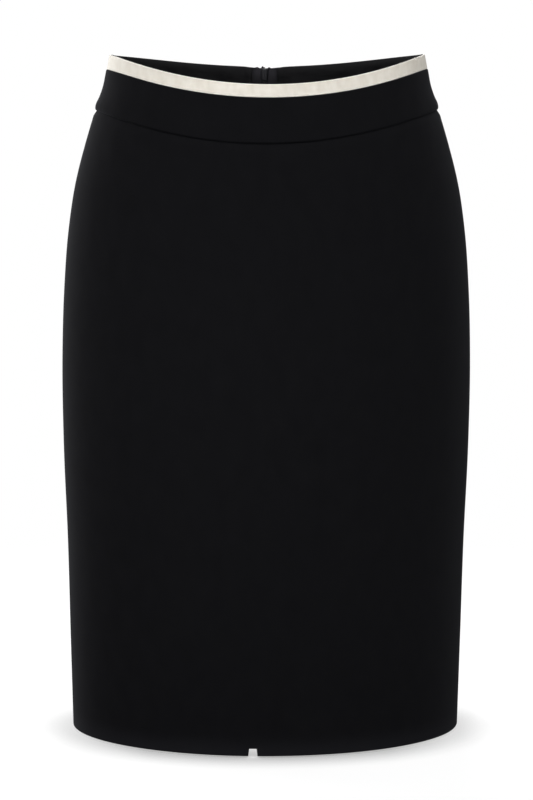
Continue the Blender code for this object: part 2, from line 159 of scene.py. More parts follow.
CREASES = tuple(Crease(side, *row) for side, rows in (
    (Side.FRONT, (
        ((-120, -140), (-106, -470), 22, 0.9),
        ((-82, -175), (-70, -420), 27, -0.8),
        ((-24, -250), (-12, -530), 34, 0.6),
        ((58, -165), (74, -400), 30, 0.7),
        ((120, -135), (130, -390), 21, -0.8),
        ((-168, -74), (-96, -104), 9, 0.5),
        ((170, -78), (104, -112), 9, 0.45),
        ((-58, -430), (-66, -582), 24, 0.6),
        ((34, -445), (41, -584), 27, -0.6),
        ((112, -415), (104, -583), 22, 0.7),
    )),
    (Side.BACK, (
        ((-96, -76), (-16, -98), 12, -0.7),
        ((92, -82), (20, -103), 11, -0.6),
        ((-122, -296), (-52, -352), 19, -1.2),
        ((118, -306), (50, -356), 18, -1.1),
        ((-74, -330), (-81, -566), 26, 1.0),
        ((82, -338), (71, -560), 28, 0.9),
        ((-134, -196), (-126, -486), 24, -0.9),
        ((131, -222), (126, -505), 22, -0.8),
        ((24, -426), (17, -578), 13, 0.5),
        ((-34, -416), (-40, -580), 16, -0.6),
    )),
) for row in rows)


@dataclass(frozen=True)
class SkirtForm:
    """Rings of the worn skirt: breadth and depths from a short table, edges from their dips.

    A ring at one height is (x/a)^n + (y/b)^n = 1, with a the half breadth, b the front or back
    depth and n the fullness.  The angle runs from the centre line, positive to +X, so that
    x = a sin^(2/n) and y = b cos^(2/n).  Methods take angles and heights of one shape and give
    an array of that shape, points and normals with x, y, z as a last axis.
    """

    columns: tuple[str, ...] = ("height", "half_breadth", "front_depth", "back_depth", "fullness")
    rows: tuple[tuple[float, ...], ...] = (
        (-590.0, 169.4, 112.0, 114.0, 2.00),
        (-500.0, 171.6, 111.0, 116.0, 1.98),
        (-420.0, 173.4, 110.5, 120.0, 1.97),
        (-340.0, 176.4, 111.0, 126.0, 1.97),
        (-260.0, 177.2, 111.0, 131.0, 1.98),
        (-200.0, 175.2, 110.0, 131.0, 2.00),
        (-150.0, 171.2, 108.0, 126.0, 2.00),
        (-110.0, 165.0, 105.0, 118.5, 2.00),
        (-75.0, 156.0, 101.0, 110.0, 2.00),
        (-50.0, 148.5, 97.0, 104.0, 2.00),
        (-20.0, 139.7, 91.0, 96.5, 2.00),
        (0.0, 135.5, 88.0, 92.0, 2.00),
    )
    side_length: float = 585.4
    front_dip: float = 26.8
    front_dip_power: float = 2.1
    back_dip: float = 7.9
    back_dip_power: float = 3.1
    waist_lean: float = 0.8
    hem_dip: float = 1.7
    ribbon_height: float = 10.9
    ribbon_flare: float = 1.7
    band_height: float = 48.7
    seam_lift: float = 1.8
    seam_lean: float = 1.2
    zip_dip: float = 1.4
    zip_dip_place: float = 1.0
    zip_dip_width: float = 13.0
    girth_radius: float = 150.0
    # The fullness at the band's side seams, between two angles in degrees: each roll's rise,
    # place below the yoke seam and width, and the hollow's, whose place is below the waist.
    flank: tuple[float, float] = (58.0, 84.0)
    flank_rolls: tuple[tuple[float, float, float], ...] = ((0.9, -4.7, 4.5), (-0.2, 1.3, 2.2))
    flank_hollow: tuple[float, float, float] = (-0.55, 27.0, 8.0)
    groove_depth: float = 0.5
    groove_width: float = 1.2
    pucker_rise: float = 0.055
    pucker_width: float = 6.0
    puckers: tuple[tuple[float, ...], ...] = (
        (1.0, 2.9, math.inf, 0.8), (0.7, 1.83, math.inf, 2.1), (0.6, 5.3, math.inf, 0.0))
    sway_rise: float = 0.11
    sway_start: float = 40.0
    sway_side: float = 12.0
    sways: tuple[tuple[float, ...], ...] = (
        (1.0, 27.0, 210.0, 0.6), (0.7, 17.0, -150.0, 0.0), (0.5, 47.0, 71.0, 2.0))

    def value(self, column: str, height: Array) -> Array:
        """Table column at each height, on a cubic curve through the rows.

        Args:
            column: name of the column.
            height: heights, of any shape.

        Returns:
            Values of the same shape.
        """
        table = np.array(self.rows)
        knots = table[:, 0]
        values = table[:, self.columns.index(column)]
        slopes = np.gradient(values, knots)
        row = np.clip(np.searchsorted(knots, height) - 1, 0, len(knots) - 2)
        span = knots[row + 1] - knots[row]
        t = (height - knots[row]) / span
        start = values[row] * (1 + 2 * t) * (1 - t) ** 2
        end = values[row + 1] * t * t * (3 - 2 * t)
        start_pull = slopes[row] * span * t * (1 - t) ** 2
        end_pull = slopes[row + 1] * span * t * t * (t - 1)
        return start + end + start_pull + end_pull

    def depth(self, height: Array, side: Side) -> Array:
        """Front or back depth of the ring at each height."""
        return self.value("front_depth" if side is Side.FRONT else "back_depth", height)

    def point(self, angle: Array, height: Array, side: Side) -> Array:
        """Points of the plain outer surface, from the ring's formula.

        Args:
            angle: angles round the rings.
            height: heights of the rings.
            side: half of the skirt.

        Returns:
            The points.
        """
        power = 2 / self.value("fullness", height)
        x = self.value("half_breadth", height) * np.sign(angle) * np.abs(np.sin(angle)) ** power
        y = side.value * self.depth(height, side) * np.abs(np.cos(angle)) ** power
        return np.stack([x, y, height], axis=-1)

    def normal(self, angle: Array, height: Array, side: Side, rise: float = 0.5) -> Array:
        """Unit normals out of the skirt: the gradient of the ring's formula.

        Args:
            angle: angles round the rings.
            height: heights of the rings.
            side: half of the skirt.
            rise: step in height over which the slopes are measured.

        Returns:
            The normals.
        """
        power = 2 - 2 / self.value("fullness", height)
        breadth, depth = self.value("half_breadth", height), self.depth(height, side)
        widening = (self.value("half_breadth", height + rise)
                    - self.value("half_breadth", height - rise)) / breadth
        deepening = (self.depth(height + rise, side) - self.depth(height - rise, side)) / depth
        x = np.sign(angle) * np.abs(np.sin(angle)) ** power / breadth
        y = side.value * np.abs(np.cos(angle)) ** power / depth
        z = -(np.sin(angle) ** 2 * widening + np.cos(angle) ** 2 * deepening)
        return unit(np.stack([x, y, z], axis=-1))

    def plain_waist(self, angle: Array, side: Side) -> Array:
        """Height of the waist edge: a dip times a power of the cosine, and a slight lean.

        Args:
            angle: angles round the waist.
            side: half of the skirt.

        Returns:
            The heights.
        """
        sine, cosine = np.sin(angle), np.abs(np.cos(angle))
        if side is Side.FRONT:
            return self.waist_lean * sine - self.front_dip * cosine ** self.front_dip_power
        return self.waist_lean * sine ** 3 - self.back_dip * cosine ** self.back_dip_power

    def waist_edge(self, angle: Array, side: Side) -> Array:
        """Height of the waist edge, which sinks a little where the zip parts the back.

        Args:
            angle: angles round the waist.
            side: half of the skirt.

        Returns:
            The heights.
        """
        edge = self.plain_waist(angle, side)
        if side is Side.BACK:
            across = self.value("half_breadth", np.zeros_like(angle)) * np.sin(angle)
            edge = edge - self.zip_dip * bell(across - self.zip_dip_place, self.zip_dip_width)
        return edge

    def ribbon_drop(self, angle: Array) -> Array:
        """Height of the ribbon, which grows towards the side seams."""
        return self.ribbon_height + self.ribbon_flare * (1 - np.cos(angle))

    def yoke_drop(self, angle: Array) -> Array:
        """Drop from the waist edge to the yoke seam, which rises and levels out to the sides."""
        sine, level = np.sin(angle), np.cos(angle) ** 2
        return (self.band_height - self.seam_lift * (1 - level ** 2)
                - self.seam_lean * sine * level)

    def hem_edge(self, angle: Array, side: Side) -> Array:
        """Height of the hem, which hangs a little lower at the centre front."""
        dip = self.hem_dip if side is Side.FRONT else 0.0
        return -self.side_length - dip * np.cos(angle) ** 2

    def below_waist(self, drop: float | HeightLine, side: Side) -> HeightLine:
        """Height line that runs below the waist edge by a fixed drop or by a line of drops."""
        return lambda angle: (self.plain_waist(angle, side)
                              - (drop(angle) if callable(drop) else drop))

    def waist_line(self, drop: float, side: Side) -> HeightLine:
        """Height line that follows the waist edge itself, sunk at the zip, at a drop from it."""
        return lambda angle: self.waist_edge(angle, side) - drop

    def above_hem(self, level: float, side: Side) -> HeightLine:
        """Height line that runs a fixed level above the hem."""
        return lambda angle: self.hem_edge(angle, side) + level

    def angle_at_x(self, x: Array, height: Array) -> Array:
        """Angle at which the ring stands x from the centre line: arcsin((x/a)^(n/2))."""
        share = np.abs(x) / self.value("half_breadth", height)
        return np.sign(x) * np.arcsin(share ** (self.value("fullness", height) / 2))

    def relief(self, angle: Array, height: Array, side: Side) -> Array:
        """How far the worn cloth stands out of the plain surface.

        The sum of the creases, of the fullness at the band's side seams, of the groove and
        the small puckers along the yoke seam, and of a long faint unevenness.

        Args:
            angle: angles round the rings.
            height: heights of the rings.
            side: half of the skirt.

        Returns:
            The rise at each place.
        """
        along = angle * self.girth_radius
        total = sum(crease.relief(along, height) for crease in CREASES if crease.side is side)
        drop = self.plain_waist(angle, side) - height
        below = drop - self.yoke_drop(angle)
        start, whole = np.radians(self.flank)
        rolls = sum(rise * bell(below - place, width) for rise, place, width in self.flank_rolls)
        rise, place, width = self.flank_hollow
        total = total + (smoothstep((np.abs(angle) - start) / (whole - start))
                         * (rolls + rise * bell(drop - place, width)))
        total = total - self.groove_depth * bell(below, self.groove_width)
        total = total + (self.pucker_rise * waves(along, height, self.puckers)
                         * bell(below, self.pucker_width))
        fade = (smoothstep(below / self.sway_start)
                * smoothstep((math.pi / 2 - np.abs(angle)) / math.radians(self.sway_side)))
        return total + self.sway_rise * waves(along, height, self.sways) * fade


FORM = SkirtForm()


# --------------------------------------------------------------------------------------
# Meshes
# --------------------------------------------------------------------------------------


def grid_quads(rows: int, columns: int, wrap: bool = False) -> Array:
    """Quads of a grid of vertices numbered row by row.

    Args:
        rows: lines of vertices.
        columns: vertices in each line.
        wrap: whether the last line and the last column join the first.

    Returns:
        Vertex numbers, anticlockwise, as (rows, columns, 4).
    """
    row = np.arange(rows if wrap else rows - 1)[:, None]
    column = np.arange(columns if wrap else columns - 1)[None, :]
    above, following = (row + 1) % rows, (column + 1) % columns
    return np.stack([row * columns + column, row * columns + following,
                     above * columns + following, above * columns + column], axis=-1)


@dataclass(frozen=True)
class Shell:
    """Closed surface of quads.

    Args:
        points: places of the vertices in millimetres, one row each.
        quads: vertex numbers of each quad, anticlockwise from outside.
        uv: lengths along and up the cloth at each vertex, in millimetres.
    """

    points: Array
    quads: Array
    uv: Array

    @classmethod
    def between(cls, outer: Array, inner: Array, uv: Array,
                kept: Optional[Array] = None) -> "Shell":
        """Join two faces of a sheet, which share the vertices of every edge.

        Args:
            outer: grid of places of the outer face.
            inner: grid of places of the inner face.
            uv: grid of lengths along and up the cloth.
            kept: squares of the grid that are there; all of them if it is left out.

        Returns:
            The closed surface.
        """
        rows, columns = outer.shape[:2]
        cells = grid_quads(rows, columns)
        kept = np.ones(cells.shape[:2], dtype=bool) if kept is None else kept
        beside = np.pad(kept.astype(int), 1)
        touching = beside[:-1, :-1] + beside[1:, :-1] + beside[:-1, 1:] + beside[1:, 1:]
        numbers = np.arange(rows * columns)
        behind = np.where((touching < 4).ravel(), numbers, numbers + rows * columns)
        face = cells[kept].reshape(-1, 4)
        quads = np.concatenate([face, behind[face][:, ::-1]])
        points = np.concatenate([outer.reshape(-1, 3), inner.reshape(-1, 3)])
        lengths = np.concatenate([uv.reshape(-1, 2)] * 2)
        used, renumbered = np.unique(quads, return_inverse=True)
        return cls(points[used], renumbered.reshape(quads.shape), lengths[used])

    @classmethod
    def joined(cls, shells: Sequence["Shell"]) -> "Shell":
        """All the shells as one."""
        starts = np.cumsum([0] + [len(shell.points) for shell in shells[:-1]])
        return cls(np.concatenate([shell.points for shell in shells]),
                   np.concatenate([shell.quads + start for shell, start in zip(shells, starts)]),
                   np.concatenate([shell.uv for shell in shells]))

    def make(self, name: str, material: Material) -> bpy.types.Object:
        """Object at the origin with a smooth mesh in metres.

        Args:
            name: name of the piece.
            material: finish of the piece.

        Returns:
            The new object, linked to the scene.
        """
        mesh = bpy.data.meshes.new(name)
        mesh.vertices.add(len(self.points))
        mesh.vertices.foreach_set("co", (self.points * METRES_PER_MM).astype(np.float32).ravel())
        mesh.loops.add(self.quads.size)
        mesh.loops.foreach_set("vertex_index", self.quads.astype(np.int32).ravel())
        mesh.polygons.add(len(self.quads))
        mesh.polygons.foreach_set("loop_start", np.arange(0, self.quads.size, 4, dtype=np.int32))
        mesh.polygons.foreach_set("use_smooth", np.ones(len(self.quads), dtype=bool))
        lengths = self.uv[self.quads.ravel()] * METRES_PER_MM
        mesh.uv_layers.new(name=UV_NAME).data.foreach_set("uv", lengths.astype(np.float32).ravel())
        mesh.update(calc_edges=True)
        mesh.validate()
        mesh.materials.append(material)
        piece = bpy.data.objects.new(name, mesh)
        bpy.context.scene.collection.objects.link(piece)
        return piece


def tube(path: Array, first: Array, second: Array, sides: int, ring: bool = False) -> Shell:
    """Tube round a path: path + first cos(t) + second sin(t) for t once round.

    Args:
        path: places along the middle of the tube.
        first: half axis of its section at each place.
        second: the other half axis.
        sides: faces round it, an even number.
        ring: whether the path closes on itself.

    Returns:
        The closed surface; an open path is closed by flat ends.
    """
    heading = np.gradient(path, axis=0)
    if (np.cross(first, second) * heading).sum() < 0:
        second = -second
    turn = np.arange(sides) * (FULL_TURN / sides)
    points = (path[:, None] + first[:, None] * np.cos(turn)[None, :, None]
              + second[:, None] * np.sin(turn)[None, :, None])
    quads = grid_quads(len(path), sides, wrap=True)
    girth = turn * float(np.linalg.norm(first, axis=-1).mean())
    run = np.cumsum(np.linalg.norm(heading, axis=-1))
    uv = np.stack(np.broadcast_arrays(girth[None, :], run[:, None]), axis=-1)
    if ring:
        quads = quads.reshape(-1, 4)
    else:
        step = np.arange(sides // 2 - 1)
        cap = np.stack([step, step + 1, sides - 2 - step, sides - 1 - step], axis=-1)
        end = cap + (len(path) - 1) * sides
        quads = np.concatenate([quads[:-1].reshape(-1, 4), cap[:, ::-1], end])
    return Shell(points.reshape(-1, 3), quads, uv.reshape(-1, 2))


@dataclass(frozen=True)
class Lines:
    """Grid lines between a run of stops, finer beside each stop.

    A line lies at stop[k] + share * (stop[k + 1] - stop[k]) + offset.
    """

    segment: Array
    share: Array
    offset: Array

    @classmethod
    def between(cls, lengths: Sequence[float], spacing: float,
                near: Sequence[float] = (0.0, 0.08, 0.24, 0.46, 0.75, 1.3, 2.4),
                near_share: float = 0.42) -> "Lines":
        """Lines for stretches of the lengths given, at about the spacing.

        Args:
            lengths: rough length of each stretch between stops.
            spacing: distance between lines away from the stops.
            near: distances of the fine lines from each stop.
            near_share: most of a stretch that they take up at each end.

        Returns:
            The lines.
        """
        segments, shares, offsets = [], [], []
        for index, length in enumerate(lengths):
            fine = np.array(near) * min(1.0, near_share * length / near[-1])
            count = max(1, round((length - 2 * fine[-1]) / spacing))
            middle = np.linspace(0, 1, count + 1)[1:-1]
            first = fine if index == 0 else fine[1:]
            shares.append(np.concatenate([np.zeros(len(first)), middle, np.ones(len(fine))]))
            offsets.append(np.concatenate([first, fine[-1] * (1 - 2 * middle), -fine[::-1]]))
            segments.append(np.full(len(shares[-1]), index))
        return cls(np.concatenate(segments), np.concatenate(shares), np.concatenate(offsets))


@dataclass(frozen=True)
class SideEdge:
    """Line at a distance from a side seam, measured forward or back from it.

    Args:
        hand: +1 for the seam on +X.
        inset: the distance.
    """

    hand: int
    inset: float = 0.0

    def reference(self) -> float:
        """Angle near which the line lies."""
        return self.hand * math.pi / 2

    def angle(self, height: Array, side: Side) -> Array:
        """Angle at which the ring stands the inset from the seam: arccos((inset/b)^(n/2))."""
        share = self.inset / FORM.depth(height, side)
        return self.hand * np.arccos(share ** (FORM.value("fullness", height) / 2))

    def metric(self, height: Array, side: Side) -> Array:
        """Millimetres of cloth for each radian beside the line."""
        return FORM.depth(height, side)


@dataclass(frozen=True)
class InnerEdge:
    """Line at a distance from the centre line, which may lean aside down to the hem.

    Args:
        x: the distance, positive to +X.
        hem_shift: how much is added to it at the hem.
        lean_height: height above the hem from which the line leans.
    """

    x: float
    hem_shift: float = 0.0
    lean_height: float = 1.0

    def reference(self) -> float:
        """Angle near which the line lies."""
        return 0.0

    def angle(self, height: Array, side: Side) -> Array:
        """Angle of the line at each height, its lean growing evenly down to the hem.

        Args:
            height: heights along it.
            side: half of the skirt.

        Returns:
            The angles.
        """
        level = height - FORM.hem_edge(np.zeros_like(height), side)
        lean = self.hem_shift * np.clip(1 - level / self.lean_height, 0, 1)
        return FORM.angle_at_x(self.x + lean, height)

    def metric(self, height: Array, side: Side) -> Array:
        """Millimetres of cloth for each radian beside the line."""
        return FORM.value("half_breadth", height)


Edges = Sequence[SideEdge | InnerEdge]


@dataclass
class SheetGrid:
    """A stretch of the skirt's surface as a grid, from its lowest row up.

    Args:
        side: half of the skirt.
        edges: its edges and inner stops, from left to right as seen from outside.
        levels: height lines from the lowest to the highest.
        columns: lines between the edges.
        rows: lines between the levels.
        even_height: height to which the UV runs in every column; the true one if left out.
    """

    side: Side
    edges: Edges
    levels: Sequence[HeightLine]
    columns: Lines
    rows: Lines
    even_height: Optional[float] = None
    angle: Array = field(init=False)
    height: Array = field(init=False)
    plain: Array = field(init=False)
    along: Array = field(init=False)
    up: Array = field(init=False)

    def __post_init__(self) -> None:
        """Work out the angles, the heights and the lengths along the cloth."""
        stops, metrics = [], []
        for edge in self.edges:
            height = self.row_heights(np.full(len(self.rows.share), edge.reference()))
            stops.append(edge.angle(height, self.side))
            metrics.append(edge.metric(height, self.side))
        stops, metrics = np.stack(stops, axis=1), np.stack(metrics, axis=1)
        first, last = self.columns.segment, self.columns.segment + 1
        share = self.columns.share[None, :]
        metric = np.where(share < 0.5, metrics[:, first], metrics[:, last])
        gap = stops[:, last] - stops[:, first]
        self.angle = (stops[:, first] + share * gap
                      + np.sign(gap) * self.columns.offset[None, :] / metric)
        self.height = self.row_heights(self.angle)
        self.plain = FORM.point(self.angle, self.height, self.side)
        self.along = self.running_length(1)
        self.up = self.running_length(0)

    def row_heights(self, angle: Array) -> Array:
        """Height of each row: its share of the way between two levels, and its offset.

        Args:
            angle: angles, one line of them for each row.

        Returns:
            The heights, of the same shape.
        """
        shape = (-1,) + (1,) * (angle.ndim - 1)
        lines = np.stack([level(angle) for level in self.levels])
        pick = np.arange(len(self.rows.share))
        low = lines[self.rows.segment, pick]
        high = lines[self.rows.segment + 1, pick]
        return low + self.rows.share.reshape(shape) * (high - low) + self.rows.offset.reshape(shape)

    def running_length(self, axis: int) -> Array:
        """Length of the plain surface along an axis of the grid, from its first line."""
        steps = np.linalg.norm(np.diff(self.plain, axis=axis), axis=-1)
        nothing = np.zeros_like(np.take(steps, [0], axis=axis))
        return np.concatenate([nothing, np.cumsum(steps, axis=axis)], axis=axis)

    def edge_distances(self) -> tuple[Array, Array]:
        """Distances to the nearer side edge, and to the nearer of the top and the bottom."""
        return (np.minimum(self.along, self.along[:, -1:] - self.along),
                np.minimum(self.up, self.up[-1:, :] - self.up))

    def level(self) -> Array:
        """Height of each point above the hem."""
        return self.height - FORM.hem_edge(self.angle, self.side)

    def squares(self, row: int, column: int) -> Array:
        """Which squares lie in the stretch that a row and a column of stops bound."""
        return (self.rows.segment[1:, None] == row) & (self.columns.segment[None, 1:] == column)

    def uv(self) -> Array:
        """Lengths along the cloth from its middle and up from its lowest row."""
        up = self.up if self.even_height is None else self.up / self.up[-1:] * self.even_height
        return np.stack([self.along - self.along[:, -1:] / 2, up], axis=-1)

    def flat_size(self) -> tuple[float, float, float]:
        """Sizes of the plain surface, its area the sum of its squares' cross products.

        Returns:
            Greatest width, greatest length and area, in metres.
        """
        rise, run = np.diff(self.plain, axis=0), np.diff(self.plain, axis=1)
        across = (run[:-1] + run[1:]) / 2
        upward = (rise[:, :-1] + rise[:, 1:]) / 2
        area = np.linalg.norm(np.cross(across, upward), axis=-1).sum()
        return (float(self.along[:, -1].max()) * METRES_PER_MM,
                float(self.up[-1].max()) * METRES_PER_MM,
                float(area) * METRES_PER_MM ** 2)


def rounding(distance: Array, radius: Array | float) -> Array:
    """Share of a wall's half thickness at a distance from a rounded edge: a quarter ellipse."""
    share = 1 - np.minimum(distance, radius) / radius
    return np.sqrt(np.clip(1 - share * share, 0.0, 1.0))


@dataclass
class ClothSheet:
    """One cut piece of cloth, as a closed shell with rounded edges.

    Args:
        grid: the stretch of the skirt that it covers.
        wall: thickness, one value or one for each point of the grid.
        depth: how far its outer face lies inside the skirt's outer surface.
        hole_distance: distance of each point from an opening in the piece.
        kept: squares of the grid that are there.
        face_relief: fine relief of the outer face alone.
        edge_radius: width over which the side edges are rounded.
    """

    grid: SheetGrid
    wall: Array | float
    depth: Array | float = 0.0
    hole_distance: Optional[Array] = None
    kept: Optional[Array] = None
    face_relief: Array | float = 0.0
    edge_radius: float = 0.75

    def shell(self) -> Shell:
        """Two faces half a wall either side of the middle, which meet at the edges.

        Returns:
            The closed surface.
        """
        grid = self.grid
        normal = FORM.normal(grid.angle, grid.height, grid.side)
        half = np.broadcast_to(np.asarray(self.wall) / 2, grid.angle.shape)
        across, upward = grid.edge_distances()
        share = rounding(across, self.edge_radius) * rounding(upward, half)
        if self.hole_distance is not None:
            share = share * rounding(self.hole_distance, half)
        middle = FORM.relief(grid.angle, grid.height, grid.side) - self.depth - half
        outer = grid.plain + (middle + share * (half + self.face_relief))[..., None] * normal
        inner = grid.plain + (middle - share * half)[..., None] * normal
        return Shell.between(outer, inner, grid.uv(), self.kept)


# --------------------------------------------------------------------------------------
# Finishes
# --------------------------------------------------------------------------------------


def add_node(tree: bpy.types.NodeTree, kind: str, settings: Optional[dict] = None,
             inputs: Optional[dict] = None, **named: object) -> Node:
    """Add a node with its settings, and feed its inputs constants or other nodes' outputs.

    Args:
        tree: the tree that it goes in.
        kind: Blender's name for the kind of node, without ShaderNode.
        settings: the node's own properties by name.
        inputs: a constant or an output socket by the number of each input.
        named: the same by the name of the input, with _ for a space.

    Returns:
        The new node.
    """
    node = tree.nodes.new("ShaderNode" + kind)
    for name, value in (settings or {}).items():
        setattr(node, name, value)
    for name, value in {**(inputs or {}), **named}.items():
        socket = node.inputs[name.replace("_", " ") if isinstance(name, str) else name]
        if isinstance(value, Socket):
            tree.links.new(value, socket)
        else:
            socket.default_value = value
    return node


def mixed_colour(mix: Node) -> Socket:
    """Colour output of a Mix node."""
    return next(socket for socket in mix.outputs if socket.type == "RGBA")


@dataclass(frozen=True)
class Finish:
    """Material of one kind of surface; the fields are its constants.

    The base colour drifts from dark to light in patches, and mottle holds their width and
    height in millimetres and half the range of noise over which the two mix.
    """

    name: str
    dark: str
    roughness: float
    specular: float
    light: str = "#FFFFFF"
    mottle: tuple[float, float, float] = (0.0, 0.0, 0.0)
    sheen: float = 0.0
    sheen_roughness: float = 0.4
    sheen_tint: str = "#FFFFFF"


class Surface:
    """Material in the making: a Principled shader whose colour and relief are built up."""

    def __init__(self, finish: Finish) -> None:
        """Start from a finish's constants.

        Args:
            finish: the finish.
        """
        self.finish = finish
        self.material = bpy.data.materials.new(finish.name)
        self.material.use_nodes = True
        self.tree = self.material.node_tree
        self.shader = self.tree.nodes["Principled BSDF"]
        constants = {"Base Color": linear(finish.dark), "Roughness": finish.roughness,
                     "Specular IOR Level": finish.specular, "Sheen Weight": finish.sheen,
                     "Sheen Roughness": finish.sheen_roughness,
                     "Sheen Tint": linear(finish.sheen_tint)}
        for name, value in constants.items():
            self.shader.inputs[name].default_value = value

    def place(self, width_mm: float, height_mm: float) -> Socket:
        """UV coordinates that grow by one over the width and height given."""
        uv = add_node(self.tree, "UVMap", {"uv_map": UV_NAME}).outputs["UV"]
        return add_node(self.tree, "Mapping", Vector=uv,
                        Scale=(MM_PER_METRE / width_mm, MM_PER_METRE / height_mm,
                               1.0)).outputs["Vector"]

    def patches(self, width_mm: float, height_mm: float, detail: float,
                roughness: float) -> Socket:
        """Uneven patches of the width and height given, from 0 to 1."""
        return add_node(self.tree, "TexNoise", {"noise_dimensions": "2D"},
                        Vector=self.place(width_mm, height_mm), Scale=1.0, Detail=detail,
                        Roughness=roughness).outputs["Fac"]

    def blend(self, share: Socket, start: Socket | tuple[float, ...], end: str) -> None:
        """Let the base colour run from one colour to another by a share."""
        mix = add_node(self.tree, "Mix", {"data_type": "RGBA"}, Factor=share, A=start,
                       B=linear(end))
        self.tree.links.new(mixed_colour(mix), self.shader.inputs["Base Color"])

    def tone(self) -> None:
        """Let the base colour drift between dark and light in patches."""
        width_mm, height_mm, soft = self.finish.mottle
        patches = self.patches(width_mm, height_mm, detail=2.0, roughness=0.55)
        share = add_node(self.tree, "MapRange", Value=patches, From_Min=0.5 - soft,
                         From_Max=0.5 + soft)
        self.blend(share.outputs["Result"], linear(self.finish.dark), self.finish.light)

    def fade(self, tint: str, start_mm: float, end_mm: float, mirror_mm: float = 0.0,
             across: bool = False) -> None:
        """Change the base colour, already linked, to a tint between two heights on the cloth.

        Args:
            tint: colour at the end.
            start_mm: height at which the tint starts.
            end_mm: height at which it is whole.
            mirror_mm: height of a strip whose two edges are alike, if it is one.
            across: take distances to either side of the middle in place of heights.
        """
        uv = add_node(self.tree, "UVMap", {"uv_map": UV_NAME}).outputs["UV"]
        parts = add_node(self.tree, "SeparateXYZ", Vector=uv)
        distance = parts.outputs["Y"]
        if mirror_mm:
            distance = add_node(self.tree, "Math", {"operation": "PINGPONG"}, {
                0: distance, 1: mirror_mm / 2 * METRES_PER_MM}).outputs["Value"]
        if across:
            distance = add_node(self.tree, "Math", {"operation": "ABSOLUTE"},
                                {0: parts.outputs["X"]}).outputs["Value"]
        near = add_node(self.tree, "MapRange", {"interpolation_type": "SMOOTHSTEP"},
                        Value=distance, From_Min=start_mm * METRES_PER_MM,
                        From_Max=end_mm * METRES_PER_MM)
        before = self.shader.inputs["Base Color"].links[0].from_socket
        self.blend(near.outputs["Result"], before, tint)

    def emboss(self, height: Socket, rise_mm: float) -> None:
        """Raise the surface by a pattern of the rise given."""
        bump = add_node(self.tree, "Bump", Height=height, Strength=1.0,
                        Distance=rise_mm * METRES_PER_MM)
        self.tree.links.new(bump.outputs["Normal"], self.shader.inputs["Normal"])

    def threads(self, direction: str, pitch_mm: float, distortion: float,
                detail: float = 2.0) -> Socket:
        """Even ridges along X or Y, one to each pitch: sin(rate * scale * place)."""
        return add_node(self.tree, "TexWave", {"bands_direction": direction},
                        Scale=FULL_TURN,
                        Vector=self.place(pitch_mm * WAVE_RATE, pitch_mm * WAVE_RATE),
                        Distortion=distortion, Detail=detail).outputs["Fac"]


@dataclass(frozen=True)
class CrepeFinish(Finish):
    """Wool crepe, piece-dyed black: a dry pebbled face, with a fuzz that is paler at the edges."""

    pebble_mm: tuple[float, float] = (1.1, 1.65)    # real ones are about 0.6 mm; coarser to show
    pebble_rise_mm: float = 0.05
    # Painted light: the colour that the cloth turns towards the hem, over this height, standing in
    # for light from the white floor.
    fold: str = "#1A1A1D"
    hem_light_mm: float = 20.0
    # Painted shade: a darker tint along the groove of the yoke seam, where shade falls.
    crease: str = "#08080A"

    def make(self, seam_shade_mm: tuple[float, float], paint_hem_light: bool = False) -> Material:
        """Material with pebbles, a slow drift of tone, painted shade along the groove of a seam
        and, if asked, painted light along the hem.

        Args:
            seam_shade_mm: heights on the cloth at which the painted shade of the seam's groove
                starts and is whole.
            paint_hem_light: whether the cloth turns paler towards its foot, painted light that
                stands in for light from the white floor.

        Returns:
            The material.
        """
        surface = Surface(self)
        surface.tone()
        # Painted light: a paler band along the hem.
        if paint_hem_light:
            surface.fade(self.fold, self.hem_light_mm, 0.0)
        # Painted shade along the seam's groove.
        surface.fade(self.crease, *seam_shade_mm)
        surface.emboss(surface.patches(*self.pebble_mm, detail=3.0, roughness=0.6),
                       self.pebble_rise_mm)
        return surface.material


@dataclass(frozen=True)
class RibbonFinish(Finish):
    """Petersham ribbon, woven viscose: fine ribs across it and a soft low lustre."""

    rib_mm: float = 1.0          # real ribs are about 0.7 mm; coarser so that they show
    rib_rise_mm: float = 0.04
    # Painted highlight: both edges turn paler, as if their rounded selvedges caught the light.
    edge_highlight: str = "#F2EDE3"
    edge_highlight_mm: tuple[float, float] = (1.3, 0.52)

    def make(self) -> Material:
        """Material with ribs across the ribbon, a faint mottling and a painted highlight along both
        edges.

        Returns:
            The material.
        """
        surface = Surface(self)
        surface.tone()
        # Painted highlight along both edges of the ribbon.
        surface.fade(self.edge_highlight, *self.edge_highlight_mm, FORM.ribbon_height)
        surface.emboss(surface.threads("X", self.rib_mm, distortion=0.6, detail=1.0),
                       self.rib_rise_mm)
        return surface.material


@dataclass(frozen=True)
class WovenFinish(Finish):
    """Plain woven cotton or tape: threads over and under each other, dull and even."""

    thread_mm: float = 0.8       # real threads are about 0.3 mm; coarser so that they show
    thread_rise_mm: float = 0.05
    # The cloth turns paler towards its top, between the two heights given.
    top_tint: str = "#262627"
    top_tint_mm: tuple[float, float] = (35.3, 42.8)
    edge: Optional[str] = None
    edge_mm: tuple[float, float] = (1.5, 6.1)

    def make(self) -> Material:
        """Material with crossing threads, mottled, paler towards its top, tinted at its sides.

        Returns:
            The material.
        """
        surface = Surface(self)
        surface.tone()
        surface.fade(self.top_tint, *self.top_tint_mm)
        if self.edge is not None:
            surface.fade(self.edge, *self.edge_mm, across=True)
        warp, weft = (surface.threads(way, self.thread_mm, distortion=0.4)
                      for way in ("X", "Y"))
        weave = add_node(surface.tree, "Math", {"operation": "MULTIPLY"}, {0: warp, 1: weft})
        surface.emboss(weave.outputs["Value"], self.thread_rise_mm)
        return surface.material


